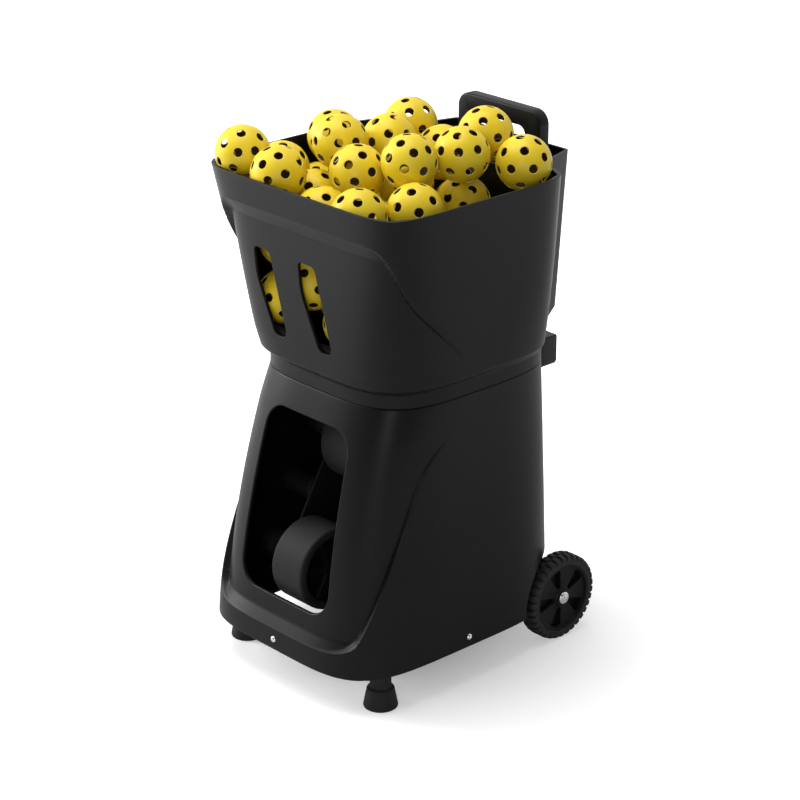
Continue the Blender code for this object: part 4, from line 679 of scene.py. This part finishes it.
RING = ring_tree()
WHEEL_PLASTIC = plain_finish("wheel plastic", (0.0040, 0.0040, 0.0041), (0.0060, 0.0060, 0.0061), 0.34, 0.44,
                             grain=1100, bump=0.05, specular=0.14)
TYRE_RUBBER = plain_finish("tyre rubber", (0.0120, 0.0120, 0.0120), (0.0175, 0.0173, 0.0170), 0.58, 0.74,
                           grain=650, bump=0.15)
SPOKES = 5
LUGS = 34


def tread_lug(side):
    """One rubber lug: its section runs over the crown and down the shoulder, and it narrows outwards."""
    section = [(0.0572, 0.0007), (0.0612, 0.0010), (0.0617, 0.0018), (0.0617, 0.0092), (0.0606, 0.0118),
               (0.0580, 0.0137), (0.0542, 0.01395), (0.0530, 0.0128)]
    ends = [[(side * x, way * (0.0038 - (r - 0.0572) * 0.16), r) for r, x in section] for way in (-1, 1)]
    return rounded(through("lug", [ends]), 0.0005, 1, 35)


for side, label in ((-1, "left"), (1, "right")):
    hub = (side * 0.155, WHEEL_Y, WHEEL_RADIUS)
    section = [(0.0063, 0.0130), (0.0112, 0.0130), (0.0123, 0.0126), (0.0130, 0.0115), (0.0140, 0.0099),
               (0.0152, 0.0095), (0.0432, 0.0095), (0.0442, 0.0099), (0.0449, 0.0112), (0.0453, 0.0126),
               (0.0459, 0.0130), (0.0476, 0.0130), (0.0482, 0.0125), (0.0482, -0.0128), (0.0478, -0.0130),
               (0.0434, -0.0130), (0.0412, -0.0030), (0.0063, -0.0030)]
    rim = turned(f"rim_{label}", [(r, side * h) for r, h in section], hub, "X", 96)
    pockets = []
    for spoke in range(SPOKES):
        middle = math.radians(38 + 360 / SPOKES * spoke)
        corners = [(0.0156, -0.20, 0.0012), (0.0156, 0.20, 0.0012), (0.0436, 0.25, 0.0030),
                   (0.0443, 0.0, 0.0), (0.0436, -0.25, 0.0030)]
        pockets.append(fillet([(WHEEL_Y + r * math.cos(middle + spread),
                                WHEEL_RADIUS + r * math.sin(middle + spread), corner)
                               for r, spread, corner in corners], 5))
    low, high = sorted((side * 0.1565, side * 0.18))
    cut(rim, [slab("pockets", pockets, low, high, "X")])
    rounded(rim, 0.0005, 2, 50)
    finish(rim, WHEEL_PLASTIC, f"{label}_wheel", [f"transport_rim_{label}"], 30)
    carcass = turned("carcass", mirrored([
        (0.0485, 0.0134), (0.0505, 0.0138), (0.0525, 0.0136), (0.0545, 0.0132), (0.0568, 0.0122),
        (0.0582, 0.0100), (0.0588, 0.0060)]), hub, "X", 96)
    rows = [run_tree(tread_lug(way), RING, count=LUGS, start_turn=(0.0 if way > 0 else math.pi / LUGS),
                     axle_place=hub, finish=TYRE_RUBBER) for way in (-1, 1)]
    tyre = joined(f"tyre_{label}", [carcass, *rows])
    finish(tyre, TYRE_RUBBER, f"{label}_wheel", [f"transport_tyre_{label}"], 30)
    cap = turned(f"hub_cap_{label}", [(r, side * h) for r, h in [
        (0, 0.0041), (0.0022, 0.0040), (0.0034, 0.0036), (0.0038, 0.0030), (0.0046, 0.0030), (0.0066, 0.0028),
        (0.0082, 0.0021), (0.0089, 0.0011), (0.0090, 0.0004), (0.0088, 0.0), (0, 0.0)]],
        (side * 0.1683, WHEEL_Y, WHEEL_RADIUS), "X", 56, closed=False)
    finish(cap, BRIGHT_STEEL, "base", [f"axle_cap_{label}"], 40)
axle = turned("axle_rod", mirrored([(0, 0.168), (0.0052, 0.168), (0.0060, 0.1672)]), AXLE, "X", 40, closed=False)
finish(axle, BRIGHT_STEEL, "base", ["rear_axle"], 40)

# Feed: the hopper floor is a moulded funnel over a five-pocket carousel, turned by a gearmotor under the floor.
# Each ball drops through the hole at the back into the chute, which leads it down to the throwing wheels.
INNER_BLACK = plain_finish("inner moulding", (0.0055, 0.0055, 0.0058), (0.0080, 0.0080, 0.0084), 0.50, 0.60,
                           bump=0.05, specular=0.12)
MOTOR_PAINT = plain_finish("motor paint", (0.0060, 0.0060, 0.0065), (0.0085, 0.0085, 0.0090), 0.40, 0.50,
                           grain=1800, bump=0.04, specular=0.12)
copy_of("hopper_floor", INNER_BLACK, "base")
copy_of("feed_carousel", INNER_BLACK, "carousel", 0.0008)
copy_of("feed_gearmotor", MOTOR_PAINT, "base")
copy_of("ball_chute", INNER_BLACK, "base")

# Launcher: a turntable on its own gearmotor swings it from side to side, and a second one tilts the cradle.
# The cradle's plate carries two motors, each with a smooth rubber-tyred throwing wheel on a five-spoked core.
THROWING_RUBBER = plain_finish("throwing rubber", (0.014, 0.014, 0.0144), (0.020, 0.020, 0.0204), 0.55, 0.68,
                               grain=800, bump=0.10, drift=25, specular=0.15)
copy_of("yaw_gearmotor", MOTOR_PAINT, "base")
copy_of("yaw_turntable", TRAY_PAINT, "yaw", 0.0006)
copy_of("pitch_gearmotor", MOTOR_PAINT, "yaw")
copy_of("launcher_cradle", TRAY_PAINT, "cradle")
for label, place in (("lower", (0, -0.14056, 0.15692)), ("upper", (0, -0.05156, 0.31108))):
    band = turned(f"{label}_wheel_band", mirrored([
        (0.0469, 0.0290), (0.0474, 0.0298), (0.0482, 0.0300), (0.0552, 0.0300), (0.0566, 0.0295),
        (0.0575, 0.0285), (0.0579, 0.0270), (0.0580, 0.0250)]), place, "X", 112)
    finish(band, THROWING_RUBBER, f"{label}_wheel", [f"{label}_throwing_wheel"], 30)
    core = turned("core", [
        (0.0043, 0.0255), (0.0105, 0.0255), (0.0115, 0.0248), (0.0120, 0.0145), (0.0430, 0.0145),
        (0.0440, 0.0150), (0.0446, 0.0285), (0.0452, 0.0292), (0.0468, 0.0292), (0.0468, -0.0292),
        (0.0452, -0.0292), (0.0446, -0.0285), (0.0440, -0.0180), (0.0043, -0.0180)], place, "X", 80)
    rib = slab("rib", [[(-0.0042, 0.0100), (0.0042, 0.0100), (0.0086, 0.0445), (-0.0086, 0.0445)]],
               0.0143, 0.0240, "X")
    rounded(rib, 0.0006, 1, 30)
    ribs = run_tree(rib, RING, count=SPOKES, start_turn=math.radians(14), axle_place=place,
                    finish=WHEEL_PLASTIC)
    core = joined(f"{label}_wheel_core", [core, ribs])
    finish(core, WHEEL_PLASTIC, f"{label}_wheel", [f"{label}_throwing_wheel"], 30)
    copy_of(f"{label}_throwing_motor", MOTOR_PAINT, "cradle")

# Battery and rear panel: a sealed pack on the tray, and a small moulded panel let into the housing's back.
# The panel holds a rocker switch and, beside it, the plated socket that the charger plugs into.
BATTERY_CASE = plain_finish("battery case", (0.030, 0.033, 0.036), (0.038, 0.041, 0.045), 0.45, 0.55,
                            bump=0.05)
copy_of("battery_pack", BATTERY_CASE, "base")
copy_of("control_panel", INNER_BLACK, "base", 0.0007)
copy_of("power_switch", WHEEL_PLASTIC, "switch", 0.0005)
copy_of("charge_socket", BRIGHT_STEEL, "base")

# Handle: two drawn aluminium tubes slide in two fixed ones that stand in the box behind the hopper.
# A moulded loop grip joins their tops, and a moulded bracket clamps the fixed tubes to the housing.
DRAWN_ALUMINIUM = plain_finish("drawn aluminium", (0.56, 0.57, 0.58), (0.66, 0.67, 0.68), 0.26, 0.36,
                               grain=1500, bump=0.04, drift=30, metallic=1.0, specular=0.5)
for side, label in ((-1, "left"), (1, "right")):
    foot = (side * TUBE_X, TUBE_Y, 0)
    sleeve = turned(f"fixed_tube_{label}", [
        (0.0096, 0.6545), (0.0099, 0.6550), (0.0107, 0.6550), (0.0110, 0.6547), (0.0110, 0.3846),
        (0.0107, 0.3843), (0.0096, 0.3843)], foot, "Z", 56)
    finish(sleeve, DRAWN_ALUMINIUM, "base", [f"handle_outer_tube_{label}"], 40)
    slider = turned(f"sliding_tube_{label}", [
        (0, 0.6722), (0.0093, 0.6722), (0.0093, 0.3925), (0.0088, 0.3920), (0, 0.3920)], foot, "Z", 56,
        closed=False)
    finish(slider, DRAWN_ALUMINIUM, "handle", [f"handle_inner_tube_{label}"], 40)
grip = slab("grip", [fillet([
    (-0.078, 0.6585, 0.003), (-0.050, 0.6585, 0.003), (-0.050, 0.710, 0.012), (0.050, 0.710, 0.012),
    (0.050, 0.6585, 0.003), (0.078, 0.6585, 0.003), (0.078, 0.735, 0.020), (-0.078, 0.735, 0.020)], 10)],
    TUBE_Y - 0.010, TUBE_Y + 0.010)
rounded(grip, 0.0034, 4, 60)
cut(grip, [rod("grip_socket", 0.0096, (0.65, 0.6725), (side * TUBE_X, TUBE_Y, 0), "Z", 48)
           for side in (-1, 1)])
finish(grip, MOULDED_BLACK, "handle", ["handle_grip"], 30)
copy_of("handle_bracket", MOULDED_BLACK, "base", 0.0010)

# Balls: 74 mm perforated balls in bright yellow, thin-walled, with thirteen round holes in each half.
# They lie heaped above the rim; the ones below the heap fill the hopper down to the carousel.
def ball_tree():
    """Geometry Nodes: a thin sphere with a hole, and a rounded lip round it, at each point given; it marks the
    inner wall for painted shade and the lips for a painted highlight.
    """
    tree, given, put = new_group("Perforated ball", "GeometryNodeTree", {
        "Hole places": "Geometry", "Radius": "Float", "Wall": "Float", "Hole radius": "Float", "Lip": "Float",
        "Finish": "Material"}, {"Ball": "Geometry"})
    outer = add_node(tree, "GeometryNodeMeshIcoSphere", {"Subdivisions": 5})
    inner = add_node(tree, "GeometryNodeMeshIcoSphere", {"Subdivisions": 4})
    thin = add_node(tree, "ShaderNodeMath", operation="SUBTRACT")
    drill = add_node(tree, "GeometryNodeMeshCylinder", {"Vertices": 20, "Depth": 0.010})
    place = add_node(tree, "GeometryNodeInputPosition")
    aim = add_node(tree, "FunctionNodeAlignEulerToVector", axis="Z")
    holes = add_node(tree, "GeometryNodeInstanceOnPoints")
    real = add_node(tree, "GeometryNodeRealizeInstances")
    pierce = add_node(tree, "GeometryNodeMeshBoolean", operation="DIFFERENCE", solver="EXACT")
    circle = add_node(tree, "GeometryNodeCurvePrimitiveCircle", {"Resolution": 20})
    bead = add_node(tree, "GeometryNodeCurvePrimitiveCircle", {"Resolution": 6})
    seat = add_node(tree, "GeometryNodeTransform", {"Translation": (0, 0, -0.0008)})
    sweep = add_node(tree, "GeometryNodeCurveToMesh")
    lips = add_node(tree, "GeometryNodeInstanceOnPoints")
    real_lips = add_node(tree, "GeometryNodeRealizeInstances")
    # Marks the lips, which the material paints a paler yellow as a highlight.
    mark_lip_highlight = add_node(tree, "GeometryNodeStoreNamedAttribute", {"Name": "rim", "Value": 1.0})
    far_out = add_node(tree, "ShaderNodeVectorMath", operation="LENGTH")
    depth = add_node(tree, "ShaderNodeMath", operation="SUBTRACT")
    under_skin = add_node(tree, "ShaderNodeMath", {1: 0.0007}, operation="GREATER_THAN")
    # Marks the inner wall and the deep sides of the holes, which the material paints dark as shade.
    mark_inner_shade = add_node(tree, "GeometryNodeStoreNamedAttribute", {"Name": "inside"})
    both = add_node(tree, "GeometryNodeJoinGeometry")
    coat = add_node(tree, "GeometryNodeSetMaterial")
    wire(tree, (given, "Radius", outer, "Radius"), (given, "Radius", thin, 0), (given, "Wall", thin, 1),
         (thin, "Value", inner, "Radius"), (given, "Hole radius", drill, "Radius"),
         (given, "Hole radius", circle, "Radius"), (given, "Lip", bead, "Radius"),
         (place, "Position", aim, "Vector"), (given, "Hole places", holes, "Points"),
         (drill, "Mesh", holes, "Instance"), (aim, "Rotation", holes, "Rotation"),
         (holes, "Instances", real, "Geometry"), (outer, "Mesh", pierce, "Mesh 1"),
         (inner, "Mesh", pierce, "Mesh 2"), (real, "Geometry", pierce, "Mesh 2"),
         (circle, "Curve", sweep, "Curve"), (bead, "Curve", sweep, "Profile Curve"),
         (given, "Hole places", lips, "Points"), (sweep, "Mesh", seat, "Geometry"),
         (seat, "Geometry", lips, "Instance"), (aim, "Rotation", lips, "Rotation"),
         (lips, "Instances", real_lips, "Geometry"), (place, "Position", far_out, 0),
         (given, "Radius", depth, 0), (far_out, "Value", depth, 1), (depth, "Value", under_skin, 0),
         (under_skin, "Value", mark_inner_shade, "Value"), (pierce, "Mesh", mark_inner_shade, "Geometry"),
         (mark_inner_shade, "Geometry", both, "Geometry"), (real_lips, "Geometry", mark_lip_highlight, "Geometry"),
         (mark_lip_highlight, "Geometry", both, "Geometry"), (both, "Geometry", coat, "Geometry"),
         (given, "Finish", coat, "Material"), (coat, "Geometry", put, "Ball"))
    return tree


BALL_RADIUS = 0.037
HOLE_RADIUS = 0.0067
BALL_YELLOW = plain_finish("ball yellow", (0.80, 0.580, 0.018), (0.86, 0.650, 0.026), 0.36, 0.46, grain=500,
                           bump=0.03, drift=40, specular=0.32)
tree = BALL_YELLOW.node_tree
shader = tree.nodes["Principled BSDF"]
outer_colour = shader.inputs["Base Color"].links[0].from_node
# Painted shade: the inner wall seen through the holes is mixed to a dark brown in place of the lit yellow.
inner_shade_mask = add_node(tree, "ShaderNodeAttribute", attribute_name="inside")
painted_inner_shade = add_node(tree, "ShaderNodeMix", {"B": (0.110, 0.060, 0.006, 1)}, data_type="RGBA")
# Painted highlight: the lips round the holes are mixed to a paler yellow.
lip_highlight_mask = add_node(tree, "ShaderNodeAttribute", attribute_name="rim")
painted_lip_highlight = add_node(tree, "ShaderNodeMix", {"B": (0.92, 0.74, 0.14, 1)}, data_type="RGBA")
wire(tree, (outer_colour, "Result", painted_inner_shade, "A"), (inner_shade_mask, "Fac", painted_inner_shade, "Factor"),
     (painted_inner_shade, "Result", painted_lip_highlight, "A"), (lip_highlight_mask, "Fac", painted_lip_highlight, "Factor"),
     (painted_lip_highlight, "Result", shader, "Base Color"))
hole_depth = math.sqrt(BALL_RADIUS ** 2 - HOLE_RADIUS ** 2)
hole_places = []
for latitude, count, start in ((21, 8, 0.0), (58, 5, 0.3), (-21, 8, 0.5), (-58, 5, 0.8)):
    high = math.radians(latitude)
    for k in range(count):
        around = 2 * math.pi * (k + start) / count
        hole_places.append((hole_depth * math.cos(high) * math.cos(around),
                            hole_depth * math.cos(high) * math.sin(around), hole_depth * math.sin(high)))
one_ball = from_points("one_ball", hole_places)
run_tree(one_ball, ball_tree(), radius=BALL_RADIUS, wall=0.0014, hole_radius=HOLE_RADIUS, lip=0.0007,
         finish=BALL_YELLOW)
ball_mesh = one_ball.data
bpy.data.objects.remove(one_ball)

rng = np.random.default_rng(20)
ball_centres = []
for number in range(1, 24):
    low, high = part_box(f"ball_{number:02d}")
    ball_centres.append((Vector(low) + Vector(high)) / 2)


def place_ball(name, centre):
    """A copy of the ball at the centre, turned at random."""
    mesh = ball_mesh.copy()
    turn = Matrix.Rotation(rng.uniform(0, 6.28), 4, Vector(rng.normal(size=3)).normalized())
    mesh.transform(Matrix.Translation(centre) @ turn)
    return placed(name, mesh)


for number, centre in enumerate(ball_centres, 1):
    name = f"ball_{number:02d}"
    finish(place_ball("perforated_" + name, centre), BALL_YELLOW, "base", [name], 32)

# From the top down, a spare ball goes wherever it clears the walls, the other balls and the gap at the right.
room = BALL_RADIUS + WALL + 0.0015
apart = 2 * BALL_RADIUS + 0.0004
PANEL_DEPTH = 0.0095
GAP_X, GAP_Z = 0.11, 0.60
spare = []
for z in np.arange(0.690, 0.486, -0.006):
    half_width, front, back, power = hopper_plan(z - 0.012)
    middle = (front + back) / 2
    for y in np.arange(-0.15, 0.13, 0.008):
        inset = PANEL_DEPTH if y < -0.09 else 0.0
        for x in np.arange(-0.15, 0.151, 0.008):
            across = abs(x) / (half_width - room)
            along = abs(y - middle) / ((back - front) / 2 - room - inset)
            spot_here = Vector((x, y, z))
            if across ** power + along ** power < 1 and (x < GAP_X or z < GAP_Z) and all(
                    (spot_here - other).length > apart for other in ball_centres + spare):
                spare.append(spot_here)
for number, centre in enumerate(spare, 1):
    finish(place_ball(f"lower_ball_{number:02d}", centre), BALL_YELLOW, "base", (), 32)

# Camera at the photograph's place, a pale floor, and soft studio light from the upper left.
# The backdrop is white to the eye and to polished metal, and dimmer where it lights the plastic.
PICTURE_PIXELS = 800
FOCAL_PIXELS = 2538.8
SENSOR_MM = 36.0
TURN, TILT, AWAY = 0.8266, 0.3886, 3.3151
LOOKED_AT = Vector((0.0862, -0.07086, 0.3995))
lens = bpy.data.cameras.new("camera")
lens.sensor_width = SENSOR_MM
lens.lens = FOCAL_PIXELS / PICTURE_PIXELS * SENSOR_MM
camera = placed("camera", lens)
bpy.context.scene.camera = camera
ahead = Vector((-math.sin(TURN) * math.cos(TILT), math.cos(TURN) * math.cos(TILT), -math.sin(TILT)))
right = Vector((math.cos(TURN), math.sin(TURN), 0))
up = right.cross(ahead)
camera.matrix_world = (Matrix.Translation(LOOKED_AT - ahead * AWAY)
                       @ Matrix((right, up, -ahead)).transposed().to_4x4())


def seen_rays(tree, path):
    """1 for rays that show the backdrop itself: to the eye, in polished metal or through glass."""
    clear = add_node(tree, "ShaderNodeMath", operation="MAXIMUM")
    shown = add_node(tree, "ShaderNodeMath", operation="MAXIMUM")
    wire(tree, (path, "Is Camera Ray", clear, 0), (path, "Is Transmission Ray", clear, 1),
         (clear, "Value", shown, 0), (path, "Is Glossy Ray", shown, 1))
    return shown


world = bpy.data.worlds.new("studio")
bpy.context.scene.world = world
world.use_nodes = True
tree = world.node_tree
backdrop = set_inputs(tree.nodes["Background"], {"Color": (1, 1, 1, 1)})
path = add_node(tree, "ShaderNodeLightPath")
seen = seen_rays(tree, path)
direction = add_node(tree, "ShaderNodeTexCoord")
towards = add_node(tree, "ShaderNodeVectorMath", {1: (-0.74, 0.64, 0.20)}, operation="DOT_PRODUCT")
sweep_white = add_node(tree, "ShaderNodeMapRange", {"From Min": -0.55, "From Max": 0.45, "To Min": 0.12},
                       interpolation_type="SMOOTHSTEP")
whole = add_node(tree, "ShaderNodeMath", operation="MAXIMUM")
level = add_node(tree, "ShaderNodeMix", {"A": 0.34})
wire(tree, (direction, "Generated", towards, 0), (towards, "Value", sweep_white, "Value"),
     (sweep_white, "Result", whole, 0), (path, "Is Camera Ray", whole, 1), (whole, "Value", level, "B"),
     (seen, "Value", level, "Factor"), (level, "Result", backdrop, "Strength"))


def softbox(name, place, aim, size, watts):
    lamp = bpy.data.lights.new(name, "AREA")
    lamp.shape = "RECTANGLE"
    lamp.size, lamp.size_y = size
    lamp.energy = watts
    facing = (Vector(aim) - Vector(place)).to_track_quat("-Z", "Y").to_matrix().to_4x4()
    placed(name, lamp).matrix_world = Matrix.Translation(place) @ facing


softbox("key", (-2.75, -1.55, 1.65), (0, 0, 0.42), (1.3, 2.2), 96)
softbox("top", (-0.4, -0.3, 2.9), (0, 0, 0.5), (1.9, 1.9), 44)
softbox("fill", (2.1, -2.5, 1.35), (0, 0, 0.4), (0.45, 1.2), 15)

floor = from_points("floor", [(-6, -6, 0), (6, -6, 0), (6, 6, 0), (-6, 6, 0)], [(0, 1, 2, 3)])
floor_finish = bpy.data.materials.new("pale floor")
floor_finish.use_nodes = True
tree = floor_finish.node_tree
floor_shader = set_inputs(tree.nodes["Principled BSDF"], {
    "Base Color": (0.80, 0.80, 0.80, 1), "Roughness": 0.9, "Specular IOR Level": 0.1,
    "Emission Color": (1, 1, 1, 1)})
path = add_node(tree, "ShaderNodeLightPath")
seen = seen_rays(tree, path)
where = add_node(tree, "ShaderNodeTexCoord")
off = add_node(tree, "ShaderNodeVectorMath", operation="LENGTH")
# Painted light: the floor's glow to the eye is weakest near the machine and grows outwards, so it lightens the
# cast shadow farther off and leaves it dark underneath.
shadow_lift_ramp = add_node(tree, "ShaderNodeMapRange", {"From Min": 0.05, "From Max": 0.72, "To Min": 0.22})
far_away = add_node(tree, "ShaderNodeMapRange", {"From Min": 1.0, "From Max": 2.2},
                    interpolation_type="SMOOTHSTEP")
near_or_far = add_node(tree, "ShaderNodeMix")
glow = add_node(tree, "ShaderNodeMath", operation="MULTIPLY")
wire(tree, (where, "Object", off, 0), (off, "Value", shadow_lift_ramp, "Value"), (off, "Value", far_away, "Value"),
     (path, "Is Camera Ray", near_or_far, "Factor"), (far_away, "Result", near_or_far, "A"),
     (shadow_lift_ramp, "Result", near_or_far, "B"), (near_or_far, "Result", glow, 0), (seen, "Value", glow, 1),
     (glow, "Value", floor_shader, "Emission Strength"))
floor.data.materials.append(floor_finish)

bpy.context.scene.view_settings.view_transform = "Standard"
